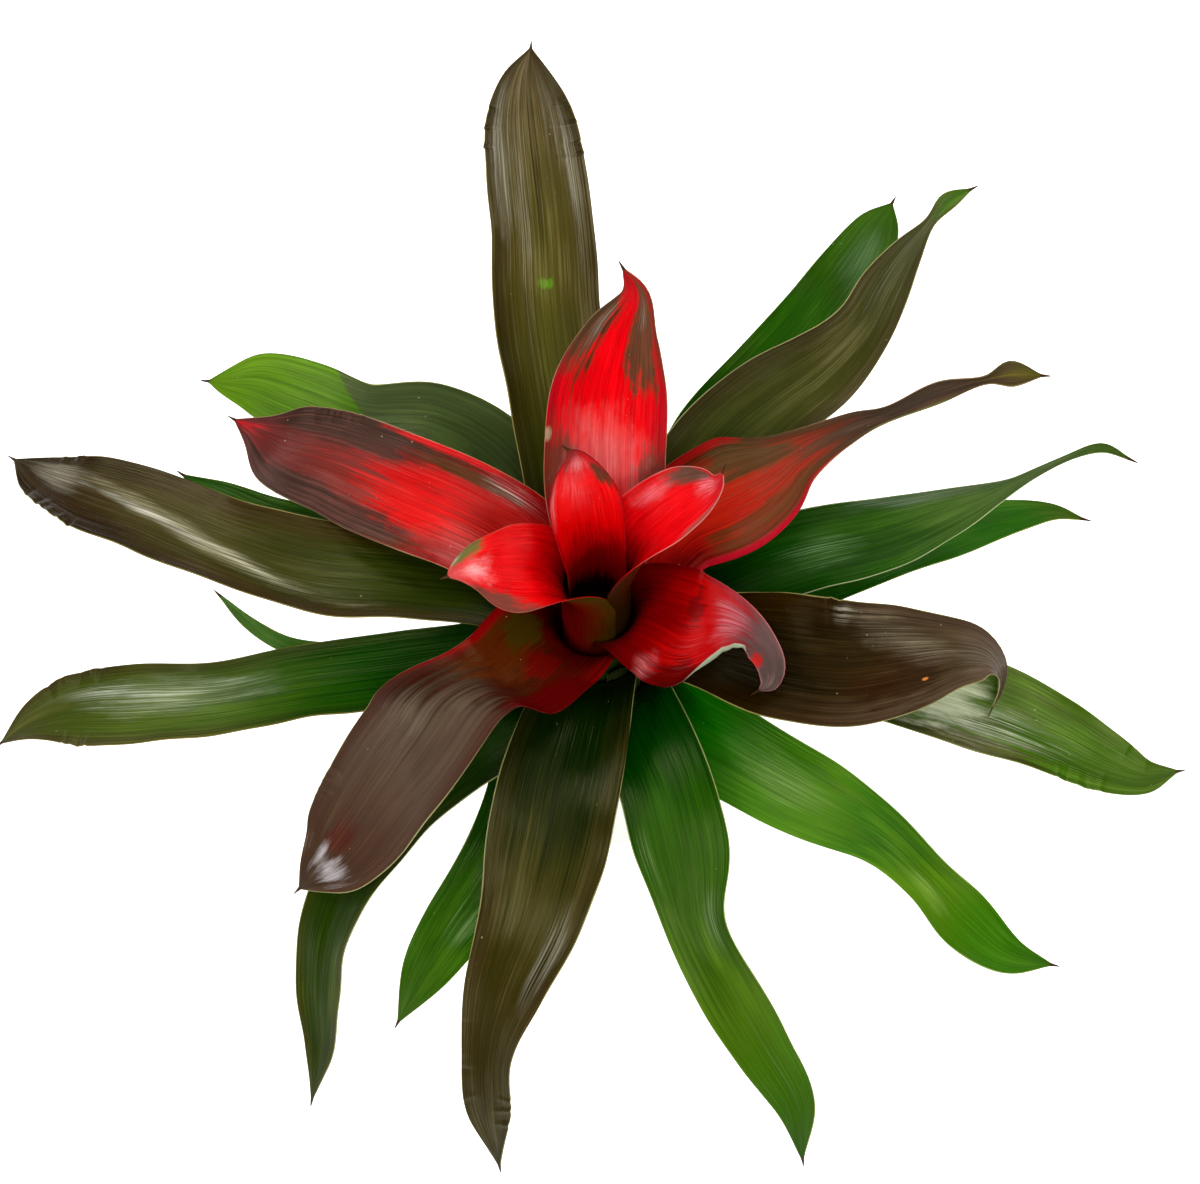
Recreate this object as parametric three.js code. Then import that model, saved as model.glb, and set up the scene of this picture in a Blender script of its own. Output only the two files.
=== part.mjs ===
// A neoregelia bromeliad growing in a plain round pot, in millimetres, +Z up.
// The origin is the centre of the pot's base, and the plant's front faces -Y.
import * as THREE from 'three';
import { mergeVertices } from 'three/addons/utils/BufferGeometryUtils.js';

// Pot and potting mix
const POT_HEIGHT = 105;
const POT_BASE_RADIUS = 44;
const POT_LIP_RADIUS = 58;
const POT_WALL = 2.4;
const POT_FLOOR = 3;
const POT_RIM_HEIGHT = 14;
const POT_RIM_STEP = 2.2;
const POT_FOOT_HEIGHT = 2;
const POT_EDGE = 1;
const POT_SIDES = 48;
const MIX_TOP = 93;
const MIX_CROWN = 3;
const SEAT_GAP = 0.3;

// Stem, a slim column that carries the nested sheaths
const STEM_RADIUS = 9.5;
const STEM_DEPTH = 38;
const STEM_FOOT_RADIUS = 6.5;
const STEM_FOOT_HEIGHT = 4;
const STEM_TIP_RADIUS = 5.5;
const STEM_TIP_HEIGHT = 4;
const STEM_SIDES = 18;

// Sheaths: concentric shells, one layer outside the other
const BLADE_THICKNESS = 0.9;
const FIRST_LAYER_RADIUS = 12.5;
const LAYER_PITCH = 1.3;
const LAST_LAYER = 16;
const LOWEST_SHEATH = 2;
const FLOOR_STEP = 1.45;
const FLOOR_SLOPE = 0.5;
const STEM_CLEARANCE = 0.5;
const CORNER_RISE = 1.2;
const CORNER_DROP = 0.4;
const TALL_NECK = 55;
const TALL_WALL_STEPS = 3;
const WRAP_STEP = 20;

// Blades: the path starts this far below the neck, and the stations close up a little at both ends
const PATH_LEAD = 12;
const STATION_EASE = 0.04;
const OPENING_LENGTH = 34;
const CHANNEL = 28;
const TIP_CHANNEL = 14;
const FLATTENING_START = 0.3;
const TIP_WIDTH = 1.6;
const BLADE_STATIONS = 16;
const RAD = Math.PI / 180;

// Each leaf: its sheath's azimuth, wrap to each side and layer, the height of its neck above the mix, and
// then the blade from the neck to the tip, as [x, y, height above the mix, width, roll, swing]. A swing turns
// a row within the blade, so that one margin runs ahead of the other; it may be left out.
const LEAVES = {
  leaf_cup_back: {
    tone: 'red', azimuth: 100, wrap: 100, layer: 0, neck: 98, channel: 62,
    blade: [[-4, 15, 116, 39, 0], [-6, 20, 135, 34, 0], [-8, 23, 150, 21, 0], [-9, 25, 157, 10, 0],
      [-12, 25, 162, 0, 0]],
  },
  leaf_cup_right: {
    tone: 'red', azimuth: 20, wrap: 100, layer: 1, neck: 96, channel: 42,
    blade: [[20, 11, 113, 42, 0], [34, 19, 125, 37, 0], [44, 21, 133, 26, 0], [50, 22, 139, 13, 0],
      [52, 25, 143, 0, 0]],
  },
  leaf_cup_left: {
    tone: 'red', azimuth: 200, wrap: 100, layer: 2, neck: 93, channel: 34,
    blade: [[-25, -5, 107, 48, -10], [-39, -7, 113, 43, -15], [-50, -8, 118, 28, -15],
      [-58, -11, 122, 12, 0], [-62, -14, 125, 0, 0]],
  },
  leaf_mid_right_front: {
    tone: 'crimson', azimuth: 340, wrap: 80, layer: 3, neck: 66, channel: 18, opening: 20,
    blade: [[20, -8, 79, 47, 6], [29, -16, 86, 53, 4, 8], [38, -23, 91, 56, 0, -4],
      [46, -23, 94, 47, 0, -14], [54, -22, 95, 35, 0, -8], [63, -24, 93, 23, 5], [70, -29, 88, 16, 15],
      [74, -35, 82, 13, 30], [73, -40, 77, 10, 30], [69, -42, 75, 0, 30]],
  },
  leaf_mid_back: {
    tone: 'crimson', azimuth: 80, wrap: 60, layer: 4, neck: 64,
    blade: [[4, 41, 94, 54, 0], [4, 56, 117, 54, 0], [6, 70, 142, 50, 0], [11, 84, 160, 33, 0],
      [15, 90, 169, 20, 0], [16, 94, 176, 12, 0], [11, 99, 184, 0, 0]],
  },
  leaf_mid_left_front: {
    tone: 'bronze_red', azimuth: 220, wrap: 80, layer: 5, neck: 58,
    blade: [[-22, -25, 79, 56, 5], [-38, -44, 85, 52, 5, 24], [-49, -45, 87, 42, 0, 38],
      [-63, -52, 84, 57, 0, 30], [-74, -65, 75, 56, 0, 5], [-91, -80, 56, 53, 0], [-111, -99, 33, 41, 0],
      [-123, -106, 24, 18, 0], [-129, -109, 17, 0, 0]],
  },
  leaf_mid_right_back: {
    tone: 'bronze_red', azimuth: 40, wrap: 60, layer: 6, neck: 55,
    blade: [[36, 38, 74, 49, 8], [61, 46, 87, 56, 4], [75, 52, 93, 44, 6], [87, 60, 97, 26, 10],
      [113, 73, 103, 12, 20], [126, 77, 105, 7, 25], [150, 87, 108, 10, 25], [171, 92, 110, 4, 20],
      [181, 94, 111, 14, 0], [194, 94, 110, 0, 0]],
  },
  leaf_mid_left_back: {
    tone: 'bronze_red', azimuth: 140, wrap: 60, layer: 7, neck: 52,
    blade: [[-34, 26, 74, 50, 0], [-57, 35, 86, 52, 0], [-85, 46, 91, 52, -10], [-115, 60, 92, 47, -10],
      [-138, 69, 90, 39, -5], [-150, 79, 86, 18, 0], [-161, 87, 84, 0, 0]],
  },
  leaf_outer_right: {
    tone: 'bronze', azimuth: 340, wrap: 60, layer: 8, neck: 50,
    blade: [[48, -15, 64, 50, 0], [78, -26, 73, 58, 15], [106, -31, 76, 57, 20], [131, -28, 76, 47, 20],
      [153, -23, 72, 32, 18], [168, -22, 66, 25, 5], [174, -27, 62, 18, 0], [174, -34, 58, 9, 0],
      [171, -40, 54, 0, 0]],
  },
  leaf_outer_left: {
    tone: 'bronze', azimuth: 180, wrap: 60, layer: 8, neck: 51,
    blade: [[-45, 8, 67, 48, 0], [-80, 9, 76, 50, 0], [-122, 11, 82, 52, 0], [-163, 22, 86, 48, 0],
      [-194, 38, 84, 46, 0], [-226, 53, 78, 42, 0], [-248, 66, 72, 24, 0], [-261, 76, 68, 0, 0]],
  },
  leaf_outer_back: {
    tone: 'bronze', azimuth: 100, wrap: 60, layer: 9, neck: 47,
    blade: [[-9, 54, 66, 46, 0], [-17, 97, 83, 48, 0], [-23, 136, 98, 49, 0], [-25, 168, 110, 48, 0],
      [-28, 198, 118, 46, 0], [-31, 226, 122, 40, 0], [-32, 247, 123, 24, 0], [-31, 264, 123, 0, 0]],
  },
  leaf_outer_front: {
    tone: 'bronze', azimuth: 260, wrap: 60, layer: 9, neck: 44,
    blade: [[-7, -42, 57, 47, 0], [-15, -76, 59, 54, 0], [-20, -100, 54, 54, 0], [-28, -132, 41, 46, 0],
      [-40, -157, 21, 34, 0], [-47, -177, -3, 23, 0], [-47, -195, -25, 20, 0], [-43, -212, -48, 0, 0]],
  },
  leaf_outer_right_back: {
    tone: 'bronze', azimuth: 60, wrap: 40, layer: 10, neck: 43,
    blade: [[32, 46, 60, 46, 0], [55, 77, 74, 48, 0], [79, 96, 84, 45, 0], [99, 109, 90, 38, 8],
      [118, 128, 95, 28, 15], [129, 148, 98, 24, 15], [140, 166, 101, 15, 12], [151, 181, 103, 5, 8],
      [160, 192, 104, 9, 0], [170, 198, 104, 0, 0]],
  },
  leaf_green_left: {
    tone: 'green_dark', azimuth: 200, wrap: 60, layer: 10, neck: 42,
    blade: [[-46, -16, 52, 38, 0], [-84, -23, 54, 38, 0], [-130, -31, 55, 38, 0], [-168, -36, 51, 36, 0],
      [-205, -34, 41, 40, 0], [-233, -30, 30, 34, 0], [-252, -33, 23, 19, 0], [-265, -39, 16, 0, 0]],
  },
  leaf_green_right_twist: {
    tone: 'green_dark', azimuth: 20, wrap: 40, layer: 11, neck: 36,
    blade: [[46, 18, 47, 40, -10], [70, 27, 54, 42, 0], [96, 33, 60, 42, 0], [128, 39, 64, 37, 0],
      [160, 50, 69, 21, 10], [183, 60, 72, 7, 20], [195, 66, 74, 4, 25], [210, 73, 76, 3, 25],
      [225, 77, 77, 5, 10], [236, 72, 76, 0, 0]],
  },
  leaf_green_front_left: {
    tone: 'green', azimuth: 240, wrap: 40, layer: 11, neck: 37,
    blade: [[-30, -42, 46, 40, 0], [-56, -61, 47, 38, 0], [-84, -83, 39, 36, 0], [-105, -106, 26, 33, 0],
      [-117, -127, 9, 30, 0], [-121, -147, -9, 26, 0], [-121, -165, -27, 18, 0], [-126, -182, -48, 0, 0]],
  },
  leaf_green_front_right: {
    tone: 'green', azimuth: 300, wrap: 40, layer: 12, neck: 31,
    blade: [[17, -41, 45, 42, 0], [29, -74, 51, 42, 0], [36, -103, 46, 42, 0], [42, -134, 34, 27, 0],
      [57, -159, 18, 28, 0], [71, -177, 0, 25, 0], [85, -194, -20, 18, 0], [89, -211, -42, 0, 0]],
  },
  leaf_green_left_back: {
    tone: 'green', azimuth: 120, wrap: 40, layer: 12, neck: 34,
    blade: [[-26, 44, 46, 44, 0], [-46, 81, 54, 44, 0], [-76, 100, 58, 41, 0], [-107, 103, 57, 36, 0],
      [-135, 117, 53, 38, 0], [-158, 129, 48, 31, 0], [-173, 132, 44, 14, 0], [-181, 134, 42, 0, 0]],
  },
  leaf_green_right_front: {
    tone: 'green', azimuth: 320, wrap: 40, layer: 13, neck: 28,
    blade: [[35, -41, 41, 42, 0], [60, -60, 47, 42, 15], [91, -79, 47, 38, 15], [120, -93, 39, 27, 15],
      [141, -108, 27, 22, 15], [159, -121, 10, 26, 10], [178, -132, -3, 18, 0], [198, -134, -10, 0, 0]],
  },
  leaf_green_left_sliver: {
    tone: 'green_dark', azimuth: 160, wrap: 40, layer: 13, neck: 28,
    blade: [[-46, 21, 41, 38, 0], [-82, 33, 49, 36, 0], [-118, 40, 53, 34, 0], [-149, 50, 54, 30, 0],
      [-172, 65, 54, 18, 0], [-187, 76, 54, 0, 0]],
  },
  leaf_green_right_far: {
    tone: 'green_dark', azimuth: 0, wrap: 40, layer: 14, neck: 24,
    blade: [[50, -6, 36, 40, 5], [84, -14, 47, 41, 0], [125, -26, 53, 42, 0], [170, -39, 50, 42, 0],
      [199, -48, 41, 36, 0], [222, -56, 32, 28, 0], [240, -60, 26, 16, 0], [255, -56, 22, 0, 0]],
  },
  leaf_green_left_curl: {
    tone: 'green', azimuth: 200, wrap: 40, layer: 14, neck: 23,
    blade: [[-46, -11, 34, 28, 0], [-80, -14, 40, 24, 0], [-112, -12, 43, 18, 0], [-137, -6, 45, 10, 0],
      [-154, 5, 45, 7, 0], [-168, 19, 45, 0, 0]],
  },
  leaf_green_right_back: {
    tone: 'green', azimuth: 60, wrap: 40, layer: 15, neck: 21,
    blade: [[34, 56, 42, 42, 0], [54, 95, 53, 42, 0], [78, 124, 59, 40, 0], [102, 153, 64, 38, 0],
      [120, 180, 68, 33, 0], [132, 203, 70, 20, 0], [138, 214, 71, 0, 0]],
  },
  leaf_green_front_small: {
    tone: 'green', azimuth: 240, wrap: 40, layer: 15, neck: 20,
    blade: [[-24, -50, 32, 40, 0], [-35, -84, 28, 36, 0], [-50, -108, 16, 33, 0], [-65, -124, 0, 28, 0],
      [-77, -137, -17, 20, 0], [-88, -151, -35, 0, 0]],
  },
  leaf_green_right_low: {
    tone: 'green', azimuth: 20, wrap: 40, layer: 16, neck: 17,
    blade: [[50, 18, 27, 38, 0], [90, 29, 37, 34, 0], [130, 42, 43, 30, 0], [166, 54, 45, 25, 0],
      [192, 61, 44, 16, 0], [208, 63, 43, 8, 0], [219, 60, 43, 0, 0]],
  },
};

const MATERIALS = {
  red: { color: 0xc8101c, roughness: 0.35 },
  crimson: { color: 0xb01824, roughness: 0.35 },
  bronze_red: { color: 0x6e1c1e, roughness: 0.4 },
  bronze: { color: 0x3e3420, roughness: 0.4 },
  green_dark: { color: 0x2c4a1e, roughness: 0.4 },
  green: { color: 0x2f6a1e, roughness: 0.4 },
  stem: { color: 0x7a6a4a, roughness: 0.8 },
  mix: { color: 0x3a2a1e, roughness: 1 },
  pot: { color: 0xf2f1ee, roughness: 0.45 },
};

function material(name) {
  return new THREE.MeshStandardMaterial({ metalness: 0, ...MATERIALS[name] });
}

function point(radius, azimuth, z) {
  return new THREE.Vector3(radius * Math.cos(azimuth * RAD), radius * Math.sin(azimuth * RAD), z);
}

// Catmull-Rom through rows of numbers, with knots spaced by the distance between the rows' first three.
function through(rows) {
  const knots = [0];
  for (let i = 1; i < rows.length; i += 1) {
    const step = Math.hypot(...[0, 1, 2].map((axis) => rows[i][axis] - rows[i - 1][axis]));
    knots.push(knots[i - 1] + step);
  }
  const slope = (i, k) => {
    const low = Math.max(i - 1, 0);
    const high = Math.min(i + 1, rows.length - 1);
    return (rows[high][k] - rows[low][k]) / (knots[high] - knots[low]);
  };
  const at = (distance) => {
    let i = 0;
    while (i < rows.length - 2 && distance > knots[i + 1]) i += 1;
    const span = knots[i + 1] - knots[i];
    const t = (distance - knots[i]) / span;
    return rows[i].map((start, k) => (
      start * (2 * t ** 3 - 3 * t ** 2 + 1) + rows[i + 1][k] * (3 * t ** 2 - 2 * t ** 3)
      + slope(i, k) * span * (t ** 3 - 2 * t ** 2 + t) + slope(i + 1, k) * span * (t ** 3 - t ** 2)
    ));
  };
  return { length: knots[knots.length - 1], at };
}

function smooth(t) {
  const x = Math.min(Math.max(t, 0), 1);
  return x * x * (3 - 2 * x);
}

// The sheath's rows of points: a shallow floor out from the stem, a rounded corner, and the upright wall.
function sheathRows(leaf) {
  const radius = FIRST_LAYER_RADIUS + LAYER_PITCH * leaf.layer;
  const start = STEM_RADIUS + STEM_CLEARANCE;
  const low = MIX_TOP + MIX_CROWN + LOWEST_SHEATH + FLOOR_STEP * (LAST_LAYER - leaf.layer);
  const corner = low + FLOOR_SLOPE * (radius - start);
  const neck = MIX_TOP + leaf.neck;
  const wallFoot = corner + CORNER_RISE;
  const profile = [[start, low], [radius - CORNER_RISE, corner - CORNER_DROP], [radius, wallFoot]];
  const steps = leaf.neck > TALL_NECK ? TALL_WALL_STEPS : 1;
  for (let i = 1; i <= steps; i += 1) {
    profile.push([radius, wallFoot + ((neck - wallFoot) * i) / steps]);
  }
  const across = (2 * leaf.wrap) / WRAP_STEP;
  return profile.map(([r, z]) => Array.from({ length: across + 1 }, (_, j) => (
    point(r, leaf.azimuth - leaf.wrap + WRAP_STEP * j, z)
  )));
}

// The blade's rows of points: arcs across the path, which open from the sheath's wrap to a shallow channel.
function bladeRows(leaf) {
  const radius = FIRST_LAYER_RADIUS + LAYER_PITCH * leaf.layer;
  const neck = point(radius, leaf.azimuth, MIX_TOP + leaf.neck);
  const neckWidth = 2 * leaf.wrap * RAD * radius;
  const path = through([
    [neck.x, neck.y, neck.z - PATH_LEAD, neckWidth, 0, 0],
    [neck.x, neck.y, neck.z, neckWidth, 0, 0],
    ...leaf.blade.map(([x, y, z, width, roll, swing = 0]) => (
      [x, y, MIX_TOP + z, Math.max(width, TIP_WIDTH), roll, swing]
    )),
  ]);
  const across = (2 * leaf.wrap) / WRAP_STEP;
  const side = point(1, leaf.azimuth + 90, 0);
  const rows = [];
  for (let i = 1; i <= BLADE_STATIONS; i += 1) {
    const t = i / BLADE_STATIONS;
    const eased = t - STATION_EASE * Math.sin(2 * Math.PI * t);
    const distance = PATH_LEAD + (path.length - PATH_LEAD) * eased;
    const [x, y, z, width, roll, swing] = path.at(distance);
    const ahead = new THREE.Vector3(...path.at(Math.min(distance + 1, path.length)));
    const behind = new THREE.Vector3(...path.at(distance - 1));
    const along = ahead.sub(behind).normalize();
    side.addScaledVector(along, -side.dot(along)).normalize();
    const right = side.clone().applyAxisAngle(along, roll * RAD);
    const up = new THREE.Vector3().crossVectors(along, right);
    right.applyAxisAngle(up, swing * RAD);
    const open = smooth((distance - PATH_LEAD) / (leaf.opening ?? OPENING_LENGTH));
    const flattening = smooth((t - FLATTENING_START) / (1 - FLATTENING_START));
    const channel = THREE.MathUtils.lerp(leaf.channel ?? CHANNEL, TIP_CHANNEL, flattening);
    const half = THREE.MathUtils.lerp(leaf.wrap, channel, open) * RAD;
    const bend = width / 2 / half;
    rows.push(Array.from({ length: across + 1 }, (_, j) => {
      const angle = half * ((2 * j) / across - 1);
      return new THREE.Vector3(x, y, z)
        .addScaledVector(right, bend * Math.sin(angle))
        .addScaledVector(up, bend * (1 - Math.cos(angle)));
    }));
  }
  return rows;
}

// A closed blade round a grid of points, with both faces split into triangles alike.
function bladeSolid(rows) {
  const last = rows.length - 1;
  const across = rows[0].length - 1;
  const normal = (i, j) => {
    const along = rows[Math.min(i + 1, last)][j].clone().sub(rows[Math.max(i - 1, 0)][j]);
    const over = rows[i][Math.min(j + 1, across)].clone().sub(rows[i][Math.max(j - 1, 0)]);
    return along.cross(over).normalize();
  };
  const positions = [];
  [BLADE_THICKNESS / 2, -BLADE_THICKNESS / 2].forEach((offset) => {
    rows.forEach((row, i) => row.forEach((p, j) => {
      positions.push(...p.clone().addScaledVector(normal(i, j), offset).toArray());
    }));
  });
  const index = [];
  const back = rows.length * (across + 1);
  const id = (i, j, shift) => shift + i * (across + 1) + j;
  const quad = (a, b, c, d) => index.push(a, b, c, a, c, d);
  for (let i = 0; i < last; i += 1) {
    for (let j = 0; j < across; j += 1) {
      index.push(id(i, j, 0), id(i + 1, j, 0), id(i + 1, j + 1, 0));
      index.push(id(i, j, 0), id(i + 1, j + 1, 0), id(i, j + 1, 0));
      index.push(id(i, j, back), id(i + 1, j + 1, back), id(i + 1, j, back));
      index.push(id(i, j, back), id(i, j + 1, back), id(i + 1, j + 1, back));
    }
    quad(id(i, 0, 0), id(i, 0, back), id(i + 1, 0, back), id(i + 1, 0, 0));
    quad(id(i, across, 0), id(i + 1, across, 0), id(i + 1, across, back), id(i, across, back));
  }
  for (let j = 0; j < across; j += 1) {
    quad(id(0, j, 0), id(0, j + 1, 0), id(0, j + 1, back), id(0, j, back));
    quad(id(last, j, 0), id(last, j, back), id(last, j + 1, back), id(last, j + 1, 0));
  }
  const geometry = new THREE.BufferGeometry();
  geometry.setAttribute('position', new THREE.Float32BufferAttribute(positions, 3));
  geometry.setIndex(index);
  return geometry;
}

// A turned body from a closed profile of [radius, height], standing on Z.
function turned(profile, sides) {
  const points = profile.map(([r, z]) => new THREE.Vector2(r, z));
  const geometry = new THREE.LatheGeometry(points, sides);
  geometry.rotateX(Math.PI / 2);
  geometry.deleteAttribute('normal');
  geometry.deleteAttribute('uv');
  return mergeVertices(geometry, 1e-4);
}

// The pot's outside radius below the rim's step, at a height above its base.
function potRadius(z) {
  return POT_BASE_RADIUS + ((POT_LIP_RADIUS - POT_RIM_STEP - POT_BASE_RADIUS) * z) / POT_HEIGHT;
}

function pot() {
  const rimLow = POT_HEIGHT - POT_RIM_HEIGHT;
  return turned([
    [0, 0], [POT_BASE_RADIUS - POT_EDGE, 0], [potRadius(POT_FOOT_HEIGHT), POT_FOOT_HEIGHT],
    [potRadius(rimLow), rimLow], [potRadius(rimLow) + POT_RIM_STEP, rimLow + POT_EDGE],
    [POT_LIP_RADIUS, POT_HEIGHT - POT_EDGE], [POT_LIP_RADIUS - POT_EDGE, POT_HEIGHT],
    [potRadius(POT_HEIGHT) - POT_WALL, POT_HEIGHT], [potRadius(POT_FLOOR) - POT_WALL, POT_FLOOR],
    [0, POT_FLOOR],
  ], POT_SIDES);
}

function mix() {
  const radius = (z) => potRadius(z) - POT_WALL - SEAT_GAP;
  const hole = STEM_RADIUS + SEAT_GAP;
  const bottom = POT_FLOOR + SEAT_GAP;
  const holeFloor = MIX_TOP - STEM_DEPTH - SEAT_GAP;
  return turned([
    [0, bottom], [radius(bottom), bottom], [radius(MIX_TOP), MIX_TOP],
    [hole, MIX_TOP + MIX_CROWN], [hole, holeFloor], [0, holeFloor],
  ], POT_SIDES);
}

function stem() {
  const foot = MIX_TOP - STEM_DEPTH;
  const top = MIX_TOP + MIX_CROWN + LOWEST_SHEATH + FLOOR_STEP * LAST_LAYER + STEM_CLEARANCE;
  return turned([
    [0, foot], [STEM_FOOT_RADIUS, foot], [STEM_RADIUS, foot + STEM_FOOT_HEIGHT],
    [STEM_RADIUS, top], [STEM_TIP_RADIUS, top + STEM_TIP_HEIGHT], [0, top + STEM_TIP_HEIGHT],
  ], STEM_SIDES);
}

function part(name, geometry, tone) {
  const mesh = new THREE.Mesh(geometry, material(tone));
  mesh.name = name;
  return mesh;
}

const plant = new THREE.Group();
plant.add(part('pot', pot(), 'pot'));
plant.add(part('potting_mix', mix(), 'mix'));
plant.add(part('stem', stem(), 'stem'));
Object.entries(LEAVES).forEach(([name, leaf]) => {
  plant.add(part(name, bladeSolid([...sheathRows(leaf), ...bladeRows(leaf)]), leaf.tone));
});

export default plant;
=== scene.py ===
"""A neoregelia bromeliad in its pot: the dressed model, in metres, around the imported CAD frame."""
import math
import random
from functools import partial

import bpy
import numpy as np
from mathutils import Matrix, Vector


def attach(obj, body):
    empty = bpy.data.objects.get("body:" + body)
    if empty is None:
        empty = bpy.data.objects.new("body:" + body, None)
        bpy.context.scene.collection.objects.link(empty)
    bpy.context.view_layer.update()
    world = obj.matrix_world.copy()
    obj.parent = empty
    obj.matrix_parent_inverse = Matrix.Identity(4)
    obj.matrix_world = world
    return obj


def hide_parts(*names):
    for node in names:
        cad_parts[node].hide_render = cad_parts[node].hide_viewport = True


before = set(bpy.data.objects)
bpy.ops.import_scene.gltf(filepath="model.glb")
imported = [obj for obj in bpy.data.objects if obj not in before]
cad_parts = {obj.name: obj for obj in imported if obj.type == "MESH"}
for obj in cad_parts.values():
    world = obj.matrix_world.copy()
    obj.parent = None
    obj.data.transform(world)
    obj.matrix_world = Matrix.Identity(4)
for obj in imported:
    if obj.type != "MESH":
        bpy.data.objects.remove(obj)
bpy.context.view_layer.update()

MM = 0.001

# The plant's dimensions, in millimetres, the same as the CAD's.
POT_HEIGHT = 105
POT_BASE_RADIUS = 44
POT_LIP_RADIUS = 58
POT_WALL = 2.4
POT_FLOOR = 3
POT_RIM_HEIGHT = 14
POT_RIM_STEP = 2.2
MIX_TOP = 93
MIX_CROWN = 3
SEAT_GAP = 0.3
STEM_RADIUS = 9.5
STEM_DEPTH = 38
FIRST_LAYER_RADIUS = 12.5
LAYER_PITCH = 1.3
LAST_LAYER = 16
LOWEST_SHEATH = 2
FLOOR_STEP = 1.45
FLOOR_SLOPE = 0.5
STEM_CLEARANCE = 0.5
CORNER_RISE = 1.2
CORNER_DROP = 0.4
CORNER_BEND = (0.35, 0.3)
WALL_STEP = 5
PATH_LEAD = 12
OPENING_LENGTH = 34
CHANNEL = 28
TIP_CHANNEL = 14
FLATTENING_START = 0.3
TIP_WIDTH = 1.6
BLADE_STATIONS = 16
STATION_EASE = 0.04

# Finer than the CAD, in millimetres: the ring under the pot, the bark chips, the blade's thickness at its
# middle and margin, its end spine, and the steps of its mesh, which are closer at the crimps and the tip.
FOOT_RING = 9
FOOT_TAPER = 1.5
FOOT_RECESS = 1.2
POT_ROUNDING = 1.1
BARK_CHIPS = 420
MIDDLE_THICKNESS = 1.0
MARGIN_THICKNESS = 0.42
MARGIN_TAPER = 9
SPINE_LENGTH = 4.5
SPINE_WIDTH = 0.35
STATION_STEP = 2.4
CRIMP_STEP = 0.7
TIP_STRETCH = 5
CRIMP_SPARE = 0.02
EASING_PASSES = 2
COLUMNS = 26

# The blade's relief, in millimetres: waves in its margins, as (shortest, longest, share of the height), lobes
# across it and a keel along its middle. The waves and lobes start where the blade is clear of the sheath.
WAVES = ((62, 95, 1.0), (26, 40, 0.35))
LOBES = 3
LOBE_HEIGHT = 0.45
LOBE_LENGTHS = (50, 110)
KEEL_DEPTH = 0.35
KEEL_SPREAD = 0.035
KEEL_RISE = 30
KEEL_LEAST_WIDTH = 8
RELIEF_START = 34
RELIEF_RISE = 50
PHASE = 6.3

# The free edge round each half of the OFBake map.
BAKE_EDGE = 0.01

# The noises in a blade's colour: how often each repeats across it and along it, its detail and its roughness.
BROAD, STREAK, RIDGE = (3.0, 5.0, 2, 0.5), (34.0, 2.6, 3, 0.6), (15.0, 1.5, 2, 0.5)
FINE, RIB, BLOT = (120.0, 5.0, 2, 0.6), (62.0, 1.6, 2, 0.5), (8.0, 9.0, 4, 0.65)
LEAF_ROUGHNESS = 0.24

# Screen colours, 0 to 255.
# Painted shade deep inside the cup.
CUP_SHADE = (44, 1, 3)
SPINE_BROWN = (74, 50, 22)
SPECK = (190, 182, 140)
CREAM = (206, 196, 150)
# The colours of waxy highlights: pale streaks that are partly waxy bloom and partly painted highlights.
WAX_HIGHLIGHT = (190, 184, 164)
PINK_WAX_HIGHLIGHT = (255, 150, 152)
# The colours of the waxy sheen, which is partly the leaf's wax and partly painted sheen.
ROSE = (255, 54, 58)
GREEN_WAX_SHEEN = (136, 172, 56)
SHEEN = (178, 164, 116)
POT_WHITE = (244, 244, 241)
POT_SCUFF = (216, 214, 206)
PERLITE = (196, 186, 166)

# The tint of a leaf's gloss, as shares of red, green and blue.
WARM_TINT = (1.0, 0.93, 0.48, 1.0)
PINK_TINT = (1.0, 0.55, 0.52, 1.0)

# The studio: where the camera looks and stands, and each softbox's azimuth, elevation, size and power.
TARGET = (0.001, 0.0, 0.178)
CAMERA = (0.001, -0.57197, 1.25372)
LENS = 85
SENSOR = 36
WORLD_STRENGTH = 0.03
FLOOR_REACH = 4.0
FLOOR_GLOW = 0.95
LIGHT_DISTANCE = 2.0
SOFTBOXES = [
    (45, 50, (0.8, 0.6), 9), (100, 42, (0.9, 0.5), 10), (150, 48, (0.8, 0.6), 10), (215, 44, (0.8, 0.6), 10),
    (275, 50, (0.9, 0.5), 10), (330, 48, (0.8, 0.6), 9), (270, 88, (1.2, 1.2), 8),
]


def mark(u, v, across, along, shade, strength, slope=0.0, ragged=1.2, **more):
    """An oval mark on a blade: its place and size in per cent of the blade's width and length."""
    return dict(u=u / 100, v=v / 100, size=(across / 100, along / 100), shade=shade, strength=strength,
                slope=slope, ragged=ragged, **more)


patch = partial(mark, tear=0.9, drift=0.6, inner=0.45)
# A waxy highlight is a streaky mark that is partly waxy bloom and partly a painted highlight where the blade
# catches the light.
bloom = partial(mark, tear=0.5, drift=0.5, inner=0.0, full=0.0)


def crimp(start, end, side, count=5, depth=1.0, reach=9):
    """Small folds in one margin, over a stretch in per cent of the blade's length."""
    return dict(at=(start / 100, end / 100), side=side, count=count, depth=depth, reach=reach)


# Colour runs: each stop is its place in per cent from the neck to the tip, then its red, green and blue.
UNDER_RED = [(0, 84, 50, 6), (30, 120, 30, 12), (80, 150, 60, 50)]
UNDER_BRONZE = [(0, 60, 84, 24), (50, 104, 106, 74), (100, 110, 104, 84)]
UNDER_GREEN = [(0, 60, 96, 26), (50, 96, 130, 64), (100, 104, 132, 70)]

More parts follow.
